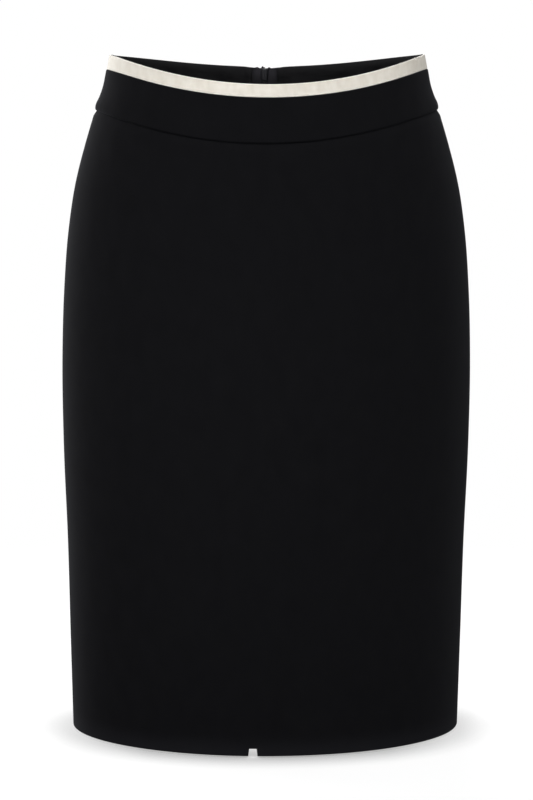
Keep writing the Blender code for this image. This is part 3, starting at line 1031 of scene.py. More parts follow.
@dataclass(frozen=True)
class MouldedFinish(Finish):
    """Drawn nylon or lacquered zinc: smooth, with a faint unevenness that breaks its gloss."""

    grain_mm: float = 1.3
    grain_rise_mm: float = 0.01

    def make(self) -> Material:
        """Material with a faint grain.

        Returns:
            The material.
        """
        surface = Surface(self)
        place = add_node(surface.tree, "TexCoord").outputs["Object"]
        grain = add_node(surface.tree, "TexNoise", Vector=place, Detail=2.0,
                         Scale=MM_PER_METRE / self.grain_mm)
        surface.emboss(grain.outputs["Fac"], self.grain_rise_mm)
        return surface.material


CREPE = CrepeFinish("wool_crepe", "#0D0D0F", 0.95, 0.04, light="#131315",
                    mottle=(12.0, 20.0, 0.5), sheen=0.052,
                    sheen_roughness=0.42, sheen_tint="#F2F4FF")
RIBBON = RibbonFinish("petersham_ribbon", "#DED7CA", 0.6, 0.3, light="#F0EBE1",
                      mottle=(7.0, 12.0, 0.45))
COTTON = WovenFinish("cotton_facing", "#101011", 0.9, 0.05, light="#1C1C1D",
                     mottle=(16.0, 5.0, 0.2), sheen=0.02)
TAPE = WovenFinish("zip_tape", "#161618", 0.85, 0.08, light="#212023",
                   mottle=(16.0, 5.0, 0.2), top_tint="#302F33",
                   top_tint_mm=(194.0, 207.0), edge="#18181A")
NYLON = MouldedFinish("nylon_coil", "#131314", 0.38, 0.4)
ZINC = MouldedFinish("lacquered_zinc", "#262629", 0.45, 0.3)


# --------------------------------------------------------------------------------------
# Sub-assemblies
# --------------------------------------------------------------------------------------


def settle(piece: bpy.types.Object, slot: str, *nodes: str, body: str = "root") -> None:
    """Let a piece ride on its body and put it in place of its nodes.

    Args:
        piece: the piece.
        slot: the record's material slot; not used.
        nodes: names of the nodes that it stands for.
        body: name of its body.
    """
    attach(piece, body)
    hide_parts(*nodes)
    LOG.info("%s: %d faces", piece.name, len(piece.data.polygons))


def hang(node: str, shell: Shell, grid: SheetGrid, material: Material, slot: str) -> None:
    """Make a piece of cloth in place of its node, and state the flat cut of what shows.

    Args:
        node: name of the node that it stands for.
        shell: its surface.
        grid: the stretch of the skirt that it covers.
        material: its finish.
        slot: the record's material slot.
    """
    piece = shell.make(node + "_cloth", material)
    width, length, area = grid.flat_size()
    settle(piece, slot, node)
    LOG.info("%s: cut %.3f x %.3f m, %.4f m2", piece.name, width, length, area)


@dataclass
class SkirtPanels:
    """Front panel and two back panels, from the yoke seam to the turned-up hem."""

    cloth: float = 1.5
    length: float = 537.0
    turn_up: float = 35.0
    turn_step: float = 2.0
    column_spacing: float = 3.2
    row_spacing: float = 3.7
    front_runs: tuple[float, float] = (210.0, 225.0)
    back_run: float = 232.0
    back_rises: tuple[float, float] = (110.0, 385.0)
    notch_centre: float = -13.7
    notch_width: float = 6.2
    notch_hem_width: float = 7.8
    notch_height: float = 6.3
    vent_height: float = 150.0
    vent_lap: float = 38.0
    vent_slant: float = 20.0
    vent_recess: float = 3.5
    vent_joggle: float = 8.0
    vent_fade: tuple[float, float] = (145.0, 166.0)
    allowance_width: float = 12.0
    allowance_depth: float = 1.6
    allowance_cloth: float = 0.9
    allowance_start: float = 40.0
    allowance_spacing: tuple[float, float] = (2.0, 4.0)
    # The loose edge of an allowance ripples by this much, over this length, from this distance
    # to that from the seam.
    ripple: tuple[float, float] = (0.12, 2.1)
    ripple_reach: tuple[float, float] = (8.0, 12.0)
    centre_seam_start: float = 168.0
    zip_end: float = 214.0
    tuck: float = 1.1
    tuck_width: float = 2.2
    tuck_under: float = 1.5
    tuck_behind: float = 1.7
    tuck_run: float = 0.9
    # Distances below the seam at which the painted shade of its groove starts and is whole.
    crease: tuple[float, float] = (1.6, 0.1)

    def seam(self, side: Side) -> HeightLine:
        """Height line of the top of the panels, a little way up behind the yoke."""
        return FORM.below_waist(lambda angle: FORM.yoke_drop(angle) - self.tuck_under, side)

    def tuck_depth(self, grid: SheetGrid) -> Array:
        """How far the top of a panel lies in: it sinks to the seam and goes on behind the yoke.

        Args:
            grid: the panel's grid.

        Returns:
            The depth at each point.
        """
        below = FORM.plain_waist(grid.angle, grid.side) - FORM.yoke_drop(grid.angle) - grid.height
        behind = self.tuck + (self.tuck_behind - self.tuck) * smoothstep(-below / self.tuck_run)
        return np.where(below > 0, self.tuck * bell(below, self.tuck_width), behind)

    def wall(self, grid: SheetGrid) -> Array:
        """Thickness of the cloth: doubled over the turned-up hem, with a soft step."""
        return self.cloth * (2 - smoothstep((grid.level() - self.turn_up) / self.turn_step))

    def levels(self, side: Side) -> tuple[HeightLine, HeightLine, HeightLine]:
        """Height lines of the hem, of the top of its turn-up and of the yoke seam."""
        return (FORM.above_hem(0.0, side), FORM.above_hem(self.turn_up, side), self.seam(side))

    def allowance(self, side: Side, edges: Edges, levels: Sequence[HeightLine]) -> Shell:
        """Seam allowance pressed flat against the inside of a panel, its loose edge rippled.

        Args:
            side: half of the skirt.
            edges: its seam and its loose edge, from left to right.
            levels: height lines of its ends.

        Returns:
            The closed surface.
        """
        across, upward = self.allowance_spacing
        grid = SheetGrid(side, edges, levels, Lines.between([self.allowance_width], across),
                         Lines.between([FORM.side_length], upward))
        seam_first = isinstance(edges[0], SideEdge) and edges[0].inset == 0.0
        seam = 0.0 if seam_first else float(grid.along[:, -1].max())
        rise, length = self.ripple
        start, whole = self.ripple_reach
        loose = smoothstep((np.abs(grid.along - seam) - start) / (whole - start))
        depth = self.allowance_depth + rise * np.sin(grid.up / length) * loose
        return ClothSheet(grid, self.allowance_cloth, depth + self.tuck_depth(grid)).shell()

    def side_allowance(self, side: Side, hand: int) -> Shell:
        """Allowance along a side seam.

        Args:
            side: half of the skirt.
            hand: +1 for the seam on +X.

        Returns:
            The closed surface.
        """
        edges = [SideEdge(hand), SideEdge(hand, self.allowance_width)]
        if hand * side.value < 0:
            edges.reverse()
        return self.allowance(side, edges, (FORM.above_hem(self.allowance_start, side),
                                            FORM.below_waist(FORM.yoke_drop, side)))

    def build_front(self, material: Material) -> None:
        """Front panel in one piece, with the small open notch in its hem.

        Args:
            material: its finish.
        """
        low, fold, seam = self.levels(Side.FRONT)
        half, height = self.notch_width / 2, self.notch_height
        spread = self.notch_hem_width / 2 - half
        left, right = self.front_runs
        edges = [SideEdge(-1), InnerEdge(self.notch_centre - half, -spread, height),
                 InnerEdge(self.notch_centre + half, spread, height), SideEdge(1)]
        rises = [height, self.turn_up - height, self.length - self.turn_up]
        grid = SheetGrid(Side.FRONT, edges, (low, FORM.above_hem(height, Side.FRONT), fold, seam),
                         Lines.between([left, self.notch_width, right], self.column_spacing),
                         Lines.between(rises, self.row_spacing), self.length)
        across = np.abs(grid.plain[..., 0] - self.notch_centre)
        lean = np.clip(1 - grid.level() / height, 0, 1)
        distance = np.hypot(np.maximum(across - half - lean * spread, 0),
                            np.maximum(grid.level() - height, 0))
        body = ClothSheet(grid, self.wall(grid), self.tuck_depth(grid), distance,
                          ~grid.squares(0, 1)).shell()
        shell = Shell.joined([body] + [self.side_allowance(Side.FRONT, hand) for hand in (-1, 1)])
        hang("front_panel", shell, grid, material, "crepe")

    def vent_top(self, angle: Array) -> Array:
        """Height of the underlap's top edge, which slants down away from the centre line."""
        x = FORM.value("half_breadth", np.float64(self.vent_height - FORM.side_length))
        slant = self.vent_slant * np.clip(x * np.sin(angle) / self.vent_lap, 0, 1)
        return FORM.hem_edge(angle, Side.BACK) + self.vent_height - slant

    def build_back(self, hand: int, name: str, material: Material) -> None:
        """Back panel on one hand; the one on -X runs on as the vent's underlap.

        Args:
            hand: +1 for the panel on +X.
            name: name of the piece.
            material: its finish.
        """
        low, fold, seam = self.levels(Side.BACK)
        edges, runs = [SideEdge(1), InnerEdge(0.0)], [self.back_run]
        centre = [InnerEdge(hand * self.allowance_width), InnerEdge(0.0)]
        if hand < 0:
            edges = [InnerEdge(self.vent_lap), InnerEdge(0.0), SideEdge(-1)]
            runs = [self.vent_lap, self.back_run]
            centre.reverse()
        grid = SheetGrid(Side.BACK, edges, (low, fold, self.vent_top, seam),
                         Lines.between(runs, self.column_spacing),
                         Lines.between([self.turn_up, *self.back_rises], self.row_spacing),
                         self.length)
        recess, distance, kept = self.tuck_depth(grid), None, None
        if hand < 0:
            x = grid.plain[..., 0]
            start, end = self.vent_fade
            recess = recess + (self.vent_recess
                               * smoothstep((x + self.vent_joggle) / self.vent_joggle)
                               * (1 - smoothstep((grid.level() - start) / (end - start))))
            distance = np.hypot(np.maximum(-x, 0),
                                np.maximum(self.vent_top(grid.angle) - grid.height, 0))
            kept = ~grid.squares(2, 0)
        body = ClothSheet(grid, self.wall(grid), recess, distance, kept).shell()
        strip = self.allowance(Side.BACK, centre, (
            FORM.above_hem(self.centre_seam_start, Side.BACK),
            FORM.below_waist(self.zip_end, Side.BACK)))
        shell = Shell.joined([body, self.side_allowance(Side.BACK, hand), strip])
        hang(name, shell, grid, material, "crepe")

    def build(self) -> None:
        """All three panels."""
        seam = self.length - self.tuck_under
        # Painted shade just below the yoke seam, and painted light along the hem.
        crepe = CREPE.make(tuple(seam - below for below in self.crease), paint_hem_light=True)
        self.build_front(crepe)
        self.build_back(1, "back_panel_right", crepe)
        self.build_back(-1, "back_panel_left", crepe)


@dataclass(frozen=True)
class Layer:
    """One layer of the waist band.

    Args:
        kind: first word of its nodes' names.
        slot: the record's material slot.
        height: rough height.
        centre: distance of its back ends from the centre line.
        depth: how far its outer face lies in.
        wall: thickness.
        low: drop of its lower edge from the waist edge.
        high: height line of its upper edge on one half of the skirt.
    """

    kind: str
    slot: str
    height: float
    centre: float
    depth: float
    wall: float
    low: float | HeightLine
    high: Callable[[Side], HeightLine]


@dataclass
class WaistBand:
    """Shaped yoke, ribbon along the waist edge and facing inside, each a front and two backs."""

    cloth: float = 1.5
    ribbon_cloth: float = 1.2
    ribbon_depth: float = 0.35
    ribbon_end: float = 0.8
    facing_depth: float = 1.8
    facing_cloth: float = 1.0
    facing_height: float = 42.8
    facing_rise: float = 0.5
    facing_end: float = 11.8
    # The back facing steps in behind the zip's tapes: where it is clear of them, how gently
    # it steps and how far.
    tape_clear: float = 17.4
    tape_ease: float = 3.0
    tape_step: float = 1.2
    # The grid's spacing and fewest rows, and rough lengths of a front and of one back.
    spacing: float = 2.0
    fewest_rows: int = 12
    front_run: float = 400.0
    back_run: float = 205.0
    # Heights above the yoke's foot at which the painted shade of the seam's groove starts and is
    # whole.
    crease: tuple[float, float] = (1.3, 0.2)
    selvedge_rise: float = 0.16
    selvedge_place: float = 0.9
    selvedge_width: float = 0.45
    # Upright wrinkles, each a product of a short and a long wave: its size, and then for each
    # wave how far it leans with the height, its length and its phase.
    wrinkles: tuple[tuple[float, ...], ...] = ((1.0, 0.18, 2.3, 0.0, -0.18, 17.0, 0.7),
                                               (1.0, -0.252, 4.1, 1.9, 0.0, 29.0, 2.2),
                                               (0.6, 0.36, 1.37, 0.4, 0.0, 11.3, 0.0))
    # Their rise, what is added to it towards +X, and where that starts and over what run.
    wrinkle_rise: tuple[float, float] = (0.09, 0.06)
    wrinkle_reach: tuple[float, float] = (20.0, 90.0)
    wrinkle_place: float = 5.0
    wrinkle_width: float = 4.5

    def strip(self, side: Side, hand: int, centre: float, levels: Sequence[HeightLine],
              height: float) -> SheetGrid:
        """Grid of a band piece: the whole front, or the back on one hand from the centre out.

        Args:
            side: half of the skirt.
            hand: +1 for the back on +X.
            centre: distance of the back's end from the centre line.
            levels: height lines of its edges.
            height: its rough height.

        Returns:
            The grid.
        """
        edges, width = [SideEdge(-1), SideEdge(1)], self.front_run
        if side is Side.BACK:
            width = self.back_run
            edges = ([SideEdge(1), InnerEdge(centre)] if hand > 0
                     else [InnerEdge(-centre), SideEdge(-1)])
        return SheetGrid(side, edges, levels, Lines.between([width], self.spacing),
                         Lines.between([height], min(self.spacing, height / self.fewest_rows)),
                         height)

    def ribbon_relief(self, grid: SheetGrid) -> Array:
        """Rise of the ribbon's face: selvedges along both edges and uneven upright wrinkles.

        The wrinkles are products of sines whose periods share no factor.

        Args:
            grid: the ribbon's grid.

        Returns:
            The rise at each point.
        """
        along = grid.angle * FORM.girth_radius
        edge = grid.edge_distances()[1]
        selvedge = self.selvedge_rise * bell(edge - self.selvedge_place, self.selvedge_width)
        wrinkle = sum(size * np.sin((along + lean * grid.up) / length + phase)
                      * np.sin((along + long_lean * grid.up) / long_length + long_phase)
                      for size, lean, length, phase, long_lean, long_length, long_phase
                      in self.wrinkles)
        start, run = self.wrinkle_reach
        rough = self.wrinkle_rise[0] + self.wrinkle_rise[1] * smoothstep((along - start) / run)
        return selvedge + rough * wrinkle * bell(edge - self.wrinkle_place, self.wrinkle_width)

    def build_layer(self, layer: Layer, material: Material) -> None:
        """Front and two backs of one layer.

        Args:
            layer: the layer.
            material: its finish.
        """
        for side, hand, name in ((Side.FRONT, 0, "_front"), (Side.BACK, 1, "_back_right"),
                                 (Side.BACK, -1, "_back_left")):
            levels = (FORM.below_waist(layer.low, side), layer.high(side))
            grid = self.strip(side, hand, layer.centre, levels, layer.height)
            relief = self.ribbon_relief(grid) if layer.kind == "ribbon" else 0.0
            depth = layer.depth
            if layer.kind == "facing" and side is Side.BACK:
                clear = self.tape_clear - np.abs(grid.plain[..., 0])
                depth = depth + self.tape_step * smoothstep(clear / self.tape_ease)
            shell = ClothSheet(grid, layer.wall, depth, face_relief=relief,
                               edge_radius=layer.wall / 2).shell()
            hang(layer.kind + name, shell, grid, material, layer.slot)

    def build(self) -> None:
        """All nine pieces, layer by layer."""
        # The yoke's crepe has painted shade along its foot, in the seam's groove.
        self.build_layer(
            Layer("yoke", "crepe", FORM.band_height - FORM.ribbon_height, 0.0, 0.0, self.cloth,
                  FORM.yoke_drop, lambda side: FORM.below_waist(FORM.ribbon_drop, side)),
            CREPE.make(self.crease))
        self.build_layer(
            Layer("ribbon", "ribbon", FORM.ribbon_height, self.ribbon_end, self.ribbon_depth,
                  self.ribbon_cloth, FORM.ribbon_drop, lambda side: FORM.waist_line(0.0, side)),
            RIBBON.make())
        self.build_layer(
            Layer("facing", "facing", self.facing_height, self.facing_end, self.facing_depth,
                  self.facing_cloth, self.facing_height,
                  lambda side: FORM.waist_line(-self.facing_rise, side)),
            COTTON.make())


@dataclass
class BackZip:
    """Invisible zip at the centre back: two tapes, the coil, the slider and its pull.

    The slider's sizes are measured in a frame at the centre back of the waist edge: across to
    +X, out of the cloth, and up along it.
    """

    tape_inner: float = 0.65
    tape_outer: float = 12.9
    tape_depth: float = 1.8
    tape_cloth: float = 0.9
    tape_length: float = 206.0
    tape_rise: float = 0.3
    tape_run: float = 12.0
    tape_spacing: tuple[float, float] = (0.6, 2.5)
    # Soft tips of the tapes' cut ends: place across, width and rise.
    tape_tips: tuple[tuple[float, float, float], ...] = ((-6.5, 1.6, 0.8), (-1.6, 1.0, 2.1),
                                                         (4.1, 1.1, 1.0))
    coil_start: float = 11.8
    coil_end: float = 200.0
    coil_pitch: float = 1.27
    coil_steps: int = 10
    coil_middle: float = 0.75
    coil_reach: float = 0.95
    coil_depth: float = 4.1
    coil_half_depth: float = 0.7
    thread: float = 0.3
    thread_sides: int = 6
    slider_top: float = 0.4
    slider_bottom: float = 11.5
    slider_middle: float = -4.6
    slider_half: float = 1.45
    slider_width: float = 3.0
    slider_grid: tuple[int, int] = (19, 27)
    # Share of the width at the slider's foot, and how fast it widens; its waist's loss, place
    # and reach; its side's and its end's roundings; the loss of thickness at its sides; and its
    # spine's rise, half width, place and reach.
    slider_foot: tuple[float, float] = (0.72, 1.6)
    slider_waist: tuple[float, float, float] = (0.12, 0.45, 0.2)
    slider_round: tuple[float, float] = (0.9, 1.1)
    slider_crown: float = 0.1
    slider_spine: tuple[float, float, float, float] = (0.28, 0.7, 0.55, 0.33)
    eye_out: float = 2.0
    eye_down: float = 2.8
    eye_radius: float = 1.6
    eye_half: tuple[float, float] = (0.48, 0.58)
    eye_steps: int = 28
    metal_sides: int = 10
    # The fin's root, how far short of the eye's middle it ends, its rise and how that falls
    # off, its half width, and its half height at the root and what it loses on the way.
    fin_root: tuple[float, float] = (-4.4, -5.6)
    fin_short: float = 1.3
    fin_rise: tuple[float, float] = (1.6, 0.4)
    fin_half: float = 0.55
    fin_tall: tuple[float, float] = (1.15, 0.35)
    fin_steps: int = 12
    pull_lean: float = 3.5
    pull_bar: float = 0.5
    pull_length: float = 19.5
    pull_head: float = 2.2
    # Heights and half widths of the tab's middle and of its neck.
    pull_middle: tuple[float, float] = (-9.5, 1.9)
    pull_neck: tuple[float, float] = (-6.0, 1.4)
    pull_tail: float = 2.6
    pull_tip: float = 0.02
    pull_half: float = 0.5
    pull_round: float = 0.45
    pull_rows: tuple[int, int, int] = (34, 12, 6)
    pull_columns: tuple[int, int] = (6, 9)
    window_side: float = 1.0
    window_share: float = 0.6
    window_low: float = 4.4
    window_round: float = 0.4

    def axes(self, lean: float = 0.0) -> tuple[Array, Array, Array]:
        """Place of the waist edge at the centre back, and the unit vectors out and up.

        Args:
            lean: degrees by which the up vector leans in.

        Returns:
            The place, the out vector and the up vector.
        """
        height = FORM.plain_waist(np.float64(0.0), Side.BACK)
        normal = FORM.normal(np.float64(0.0), height - self.slider_bottom, Side.BACK)
        slope = math.atan2(float(normal[2]), float(normal[1])) - math.radians(lean)
        return (FORM.point(np.float64(0.0), height, Side.BACK),
                np.array([0.0, math.cos(slope), math.sin(slope)]),
                np.array([0.0, -math.sin(slope), math.cos(slope)]))

    def place(self, across: Array, out: Array, up: Array, hinged: bool = False) -> Array:
        """Places from distances along the axes of a frame.

        Args:
            across: distances to +X.
            out: distances out of the cloth.
            up: distances up along it.
            hinged: take the pull's frame at the eye in place of the slider's.

        Returns:
            The places.
        """
        start, outward, upward = self.axes()
        if hinged:
            start = start + self.eye_out * outward - self.eye_down * upward
            outward, upward = self.axes(self.pull_lean)[1:]
        return (start + across[..., None] * ACROSS + out[..., None] * outward
                + up[..., None] * upward)

    def tape_top(self, angle: Array) -> Array:
        """Height of a tape's cut end, which stands up in soft tips.

        Args:
            angle: angles round the waist.

        Returns:
            The heights.
        """
        edge = FORM.waist_edge(angle, Side.BACK) + self.tape_rise
        across = FORM.value("half_breadth", np.zeros_like(angle)) * np.sin(angle)
        return edge + sum(rise * bell(across - place, width)
                          for place, width, rise in self.tape_tips)

    def build_tape(self, hand: int, name: str, material: Material) -> None:
        """Tape on one hand: a flat woven web, with its edge beside the teeth.

        Args:
            hand: +1 for the tape on +X.
            name: name of its node.
            material: its finish.
        """
        edges = [InnerEdge(hand * self.tape_outer), InnerEdge(hand * self.tape_inner)]
        if hand < 0:
            edges.reverse()
        levels = [FORM.below_waist(self.tape_length, Side.BACK), self.tape_top]
        across, upward = self.tape_spacing
        grid = SheetGrid(Side.BACK, edges, levels, Lines.between([self.tape_run], across),
                         Lines.between([self.tape_length], upward))
        shell = ClothSheet(grid, self.tape_cloth, self.tape_depth,
                           edge_radius=self.tape_cloth / 2).shell()
        hang(name, shell, grid, material, "zip_tape")

    def coil(self, hand: int) -> Shell:
        """One row of teeth: a nylon thread wound in a flattened helix down the tape's edge.

        x = hand (middle + reach cos t) and depth = middle + half sin t, half a turn apart.

        Args:
            hand: +1 for the row on +X.

        Returns:
            The closed surface.
        """
        turns = (self.coil_end - self.coil_start) / self.coil_pitch
        phase = np.linspace(0, FULL_TURN * turns, round(self.coil_steps * turns))
        height = (FORM.plain_waist(np.float64(0.0), Side.BACK) - self.coil_start
                  - self.coil_pitch * phase / FULL_TURN)
        turned = phase + (math.pi if hand < 0 else 0.0)
        x = hand * (self.coil_middle + self.coil_reach * np.cos(turned))
        angle = FORM.angle_at_x(x, height)
        depth = self.coil_depth + self.coil_half_depth * np.sin(turned)
        path = (FORM.point(angle, height, Side.BACK)
                - depth[:, None] * FORM.normal(angle, height, Side.BACK))
        heading = unit(np.gradient(path, axis=0))
        up = unit(np.array([0.0, 0.0, 1.0]) - heading * heading[:, 2:])
        return tube(path, self.thread * up, self.thread * np.cross(heading, up),
                    self.thread_sides)

    def slider_body(self) -> Shell:
        """Crowned block over the teeth, narrower at its lower end, with a raised spine.

        Half thickness = half * edge * (1 - crown * share^2), edge a quarter ellipse of the
        distance from each side and each end.

        Returns:
            The closed surface.
        """
        columns, rows = self.slider_grid
        share, rise = np.meshgrid(np.linspace(1, -1, columns), np.linspace(0, 1, rows))
        foot, pace = self.slider_foot
        loss, waist, reach = self.slider_waist
        width = (self.slider_width * (foot + (1 - foot) * smoothstep(pace * rise))
                 * (1 - loss * bell(rise - waist, reach)))
        across, length = share * width, self.slider_bottom - self.slider_top
        up = -self.slider_bottom + rise * length
        edge = (rounding(width - np.abs(across), self.slider_round[0])
                * rounding(np.minimum(rise, 1 - rise) * length, self.slider_round[1]))
        half = self.slider_half * edge * (1 - self.slider_crown * share ** 2)
        height, narrow, place, reach = self.slider_spine
        spine = height * bell(across, narrow) * bell(rise - place, reach) * edge
        return Shell.between(self.place(across, self.slider_middle + half, up),
                             self.place(across, self.slider_middle - half - spine, up),
                             np.stack([across, up], axis=-1))

    def slider_eye(self) -> Shell:
        """Flattened ring that the pull hangs in, with its hole facing across.

        Returns:
            The closed surface.
        """
        turn = np.arange(self.eye_steps) * (FULL_TURN / self.eye_steps)
        nothing = np.zeros_like(turn)
        centre = self.place(nothing, nothing + self.eye_out, nothing - self.eye_down)
        path = self.place(nothing, self.eye_out + self.eye_radius * np.cos(turn),
                          -self.eye_down + self.eye_radius * np.sin(turn))
        radial = (path - centre) / self.eye_radius
        thick, wide = self.eye_half
        return tube(path, thick * radial, wide * ACROSS + 0 * radial, self.metal_sides, ring=True)

    def slider_fin(self) -> Shell:
        """Neck that comes out between the tapes from the body to the eye.

        Returns:
            The closed surface.
        """
        share = np.linspace(0, 1, self.fin_steps)
        root_out, root_up = self.fin_root
        rise, fall = self.fin_rise
        path = self.place(np.zeros_like(share),
                          root_out + (self.eye_out - self.fin_short - root_out) * share,
                          root_up + (rise - fall * share) * share)
        heading = unit(np.gradient(path, axis=0))
        side = ACROSS + 0 * heading
        tall, loss = self.fin_tall
        return tube(path, self.fin_half * side,
                    np.cross(heading, side) * (tall - loss * share)[:, None], self.metal_sides)

    def pull(self) -> Shell:
        """Flat tab with a window round the eye, a pinched neck and a round tail.

        Its half thickness is a quarter ellipse of the distance from the nearest edge.

        Returns:
            The closed surface.
        """
        stops = (-self.pull_length, -self.window_low, -self.pull_bar, self.pull_bar)
        low, sill, lintel, top = stops
        up = np.unique(np.concatenate([np.linspace(start, end, count) for start, end, count
                                       in zip(stops, stops[1:], self.pull_rows)]))
        tail = low + self.pull_tail
        places, widths = zip((tail, self.pull_tail), self.pull_middle, self.pull_neck,
                             (sill, self.pull_head), (top, self.pull_head))
        below = np.clip(tail - up, 0, self.pull_tail - self.pull_tip)
        width = np.where(up < tail, np.sqrt(self.pull_tail ** 2 - below ** 2),
                         np.interp(up, places, widths))
        side = np.minimum(self.window_side, self.window_share * width)
        sides, panes = self.pull_columns
        left = width[:, None] + (side - width)[:, None] * np.linspace(0, 1, sides)[None, :-1]
        middle = side[:, None] * np.linspace(1, -1, panes)[None, :]
        across = np.concatenate([left, middle, -left[:, ::-1]], axis=1)
        rise = np.broadcast_to(up[:, None], across.shape)
        window = np.hypot(np.maximum(np.abs(across) - side[:, None], 0),
                          np.maximum(rise - lintel, 0) + np.maximum(sill - rise, 0))
        edge = (rounding(width[:, None] - np.abs(across), self.pull_round)
                * rounding(np.minimum(rise - low, top - rise), self.pull_round)
                * rounding(window, self.window_round))
        middles = (up[:-1] + up[1:]) / 2
        columns = np.arange(across.shape[1] - 1)
        kept = ~(((middles > sill) & (middles < lintel))[:, None]
                 & ((columns >= sides - 1) & (columns < sides + panes - 2))[None, :])
        half = self.pull_half * edge
        return Shell.between(self.place(across, half, rise, hinged=True),
                             self.place(across, -half, rise, hinged=True),
                             np.stack([across, rise], axis=-1), kept)

    def build(self) -> None:
        """Both tapes, the coil, the slider and the pull that swings on it."""
        tape, nylon, zinc = TAPE.make(), NYLON.make(), ZINC.make()
        self.build_tape(1, "zip_tape_right", tape)
        self.build_tape(-1, "zip_tape_left", tape)
        coil = Shell.joined([self.coil(1), self.coil(-1)]).make("zip_coil_wound", nylon)
        settle(coil, "zip_coil", "zip_coil")
        slider = Shell.joined([self.slider_body(), self.slider_eye(), self.slider_fin()])
        settle(slider.make("zip_slider_cast", zinc), "zip_metal", "zip_slider")
        settle(self.pull().make("zip_pull_tab", zinc), "zip_metal", "zip_pull", body="zip_pull")


# --------------------------------------------------------------------------------------
# Studio
# --------------------------------------------------------------------------------------


@dataclass(frozen=True)
class Lamp:
    """Square soft light aimed at the middle of the skirt.

    Args:
        name: name of the lamp.
        place: where it stands, in metres.
        size: length of its side in metres.
        power: its power in watts.
        spread: angle of its beam in degrees; a narrow one fades towards waist and hem.
        target: place that it is aimed at.
    """

    name: str
    place: tuple[float, float, float]
    size: float
    power: float
    spread: float = 180.0
    target: tuple[float, float, float] = (0.0, 0.0, -0.29)

    def build(self) -> None:
        """Add the lamp, turned to its target."""
        lamp = bpy.data.lights.new(self.name, "AREA")
        lamp.size, lamp.energy, lamp.spread = self.size, self.power, math.radians(self.spread)
        item = bpy.data.objects.new(self.name, lamp)
        bpy.context.scene.collection.objects.link(item)
        aim = np.array(self.target) - np.array(self.place)
        pitch = math.atan2(float(np.hypot(aim[0], aim[1])), -float(aim[2]))
        item.location = self.place
        item.rotation_euler = (pitch, 0.0, math.atan2(-float(aim[0]), float(aim[1])))


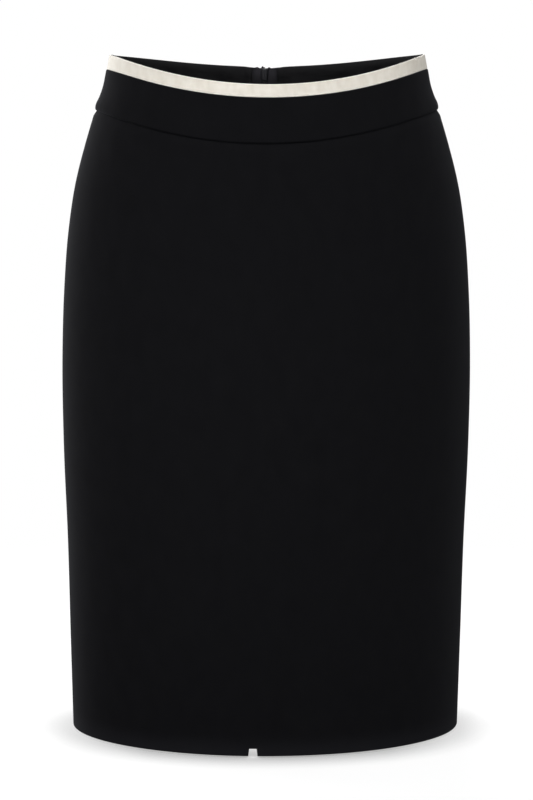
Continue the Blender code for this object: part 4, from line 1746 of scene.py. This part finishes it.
@dataclass
class Studio:
    """White room with soft lights before and behind, a low side light, a floor and the camera."""

    floor_gap: float = 0.0008
    floor_radius: float = 3.0
    floor_sides: int = 96
    floor_fade: tuple[float, float] = (0.55, 1.0)
    floor_tone: str = "#F6F6F6"
    floor_bounce: str = "#404040"
    floor_lift: float = 0.90
    floor_share: float = 0.30
    # Painted shade on the floor close to the hem: its reach, where it eases off to the sides and
    # how much it loses there.
    contact_reach: float = 0.041
    contact_sides: tuple[float, float] = (0.10, 0.16)
    contact_loss: float = 0.32
    world_level: float = 0.44
    camera_place: tuple[float, float, float] = (-0.06, -2.1, -0.0653)
    camera_pitch: float = -6.33
    camera_yaw: float = -1.62
    camera_roll: float = -0.17
    lens: float = 109.09
    lamps: tuple[Lamp, ...] = (Lamp("key_light", (-0.75, -1.85, 0.35), 0.8, 1.55, 32.0),
                               Lamp("fill_light", (1.3, -1.6, 0.7), 1.0, 9.0),
                               Lamp("side_light", (-1.4, 1.1, 0.1), 0.8, 16.0),
                               Lamp("back_light", (-0.1, 2.0, 0.9), 1.0, 24.0))

    def build_world(self) -> None:
        """Even grey light, which the camera, gloss and glass see as white."""
        world = bpy.data.worlds.new("white_room")
        bpy.context.scene.world = world
        world.use_nodes = True
        tree = world.node_tree
        tree.nodes.clear()
        rays = add_node(tree, "LightPath").outputs
        seen = rays["Is Camera Ray"]
        for kind in ("Is Glossy Ray", "Is Transmission Ray"):
            seen = add_node(tree, "Math", {"operation": "MAXIMUM"},
                            {0: seen, 1: rays[kind]}).outputs["Value"]
        level = add_node(tree, "MapRange", Value=seen, To_Min=self.world_level, To_Max=1.0)
        glow = add_node(tree, "Background", Strength=level.outputs["Result"], Color=(1, 1, 1, 1))
        add_node(tree, "OutputWorld", Surface=glow.outputs["Background"])

    def build_floor(self) -> None:
        """Pale round floor that takes the shadow and fades out into the white room.

        The camera sees white paper, shaded close to the hem; other rays meet a darker floor.
        """
        lowest = CAD_BOUNDS[0][2] - self.floor_gap
        bpy.ops.mesh.primitive_circle_add(vertices=self.floor_sides, radius=self.floor_radius,
                                          fill_type="NGON", location=(0, 0, lowest))
        floor = bpy.context.object
        floor.name = "studio_floor"
        material = bpy.data.materials.new("floor_paper")
        material.use_nodes = True
        tree = material.node_tree
        tree.nodes.clear()
        paper = linear(self.floor_tone)
        camera = add_node(tree, "LightPath").outputs["Is Camera Ray"]
        # Painted shade: ambient occlusion darkens the paper's colour, and with it its glow, close
        # to the hem, less towards the sides.
        contact = add_node(tree, "AmbientOcclusion", {"samples": 16}, Color=paper,
                           Distance=self.contact_reach)
        place = add_node(tree, "TexCoord").outputs["Object"]
        parts = add_node(tree, "SeparateXYZ", Vector=place)
        aside = add_node(tree, "Math", {"operation": "ABSOLUTE"}, {0: parts.outputs["X"]})
        start, end = self.contact_sides
        open_side = add_node(tree, "MapRange", Value=aside.outputs["Value"], From_Min=start,
                             From_Max=end, To_Max=self.contact_loss)
        tone = mixed_colour(add_node(tree, "Mix", {"data_type": "RGBA"}, A=contact.outputs["Color"],
                                     B=paper, Factor=open_side.outputs["Result"]))
        black = add_node(tree, "BsdfDiffuse", Color=(0, 0, 0, 1))
        white = add_node(tree, "BsdfDiffuse", Color=tone)
        dull = add_node(tree, "MixShader", None, {0: self.floor_share, 1: black.outputs["BSDF"],
                                                  2: white.outputs["BSDF"]})
        glow = add_node(tree, "Emission", Color=tone, Strength=self.floor_lift)
        lit = add_node(tree, "AddShader", None, {0: dull.outputs["Shader"],
                                                 1: glow.outputs["Emission"]})
        reach = add_node(tree, "VectorMath", {"operation": "LENGTH"}, {0: place})
        start, end = self.floor_fade
        fade = add_node(tree, "MapRange", {"interpolation_type": "SMOOTHSTEP"},
                        Value=reach.outputs["Value"], From_Min=start, From_Max=end)
        clear = add_node(tree, "BsdfTransparent")
        seen = add_node(tree, "MixShader", None, {0: fade.outputs["Result"],
                                                  1: lit.outputs["Shader"],
                                                  2: clear.outputs["BSDF"]})
        dim = add_node(tree, "BsdfDiffuse", Color=linear(self.floor_bounce))
        mixed = add_node(tree, "MixShader", None, {0: camera, 1: dim.outputs["BSDF"],
                                                   2: seen.outputs["Shader"]})
        add_node(tree, "OutputMaterial", Surface=mixed.outputs["Shader"])
        floor.data.materials.append(material)

    def build_camera(self) -> None:
        """Camera level with the waist, a little above the middle of the skirt."""
        data = bpy.data.cameras.new("camera")
        data.lens = self.lens
        camera = bpy.data.objects.new("camera", data)
        camera.location = self.camera_place
        camera.rotation_euler = (math.radians(90 + self.camera_pitch),
                                 math.radians(self.camera_roll), math.radians(self.camera_yaw))
        bpy.context.scene.collection.objects.link(camera)
        bpy.context.scene.camera = camera

    def build(self) -> None:
        """World, floor, lamps and camera."""
        bpy.context.scene.view_settings.view_transform = "Standard"
        self.build_world()
        self.build_floor()
        for lamp in self.lamps:
            lamp.build()
        self.build_camera()


def main() -> None:
    """Build the skirt and the studio, and note both sizes."""
    logging.basicConfig(level=logging.INFO, format="%(name)s: %(message)s")
    Studio().build()
    SkirtPanels().build()
    WaistBand().build()
    BackZip().build()


if __name__ == "__main__":
    main()
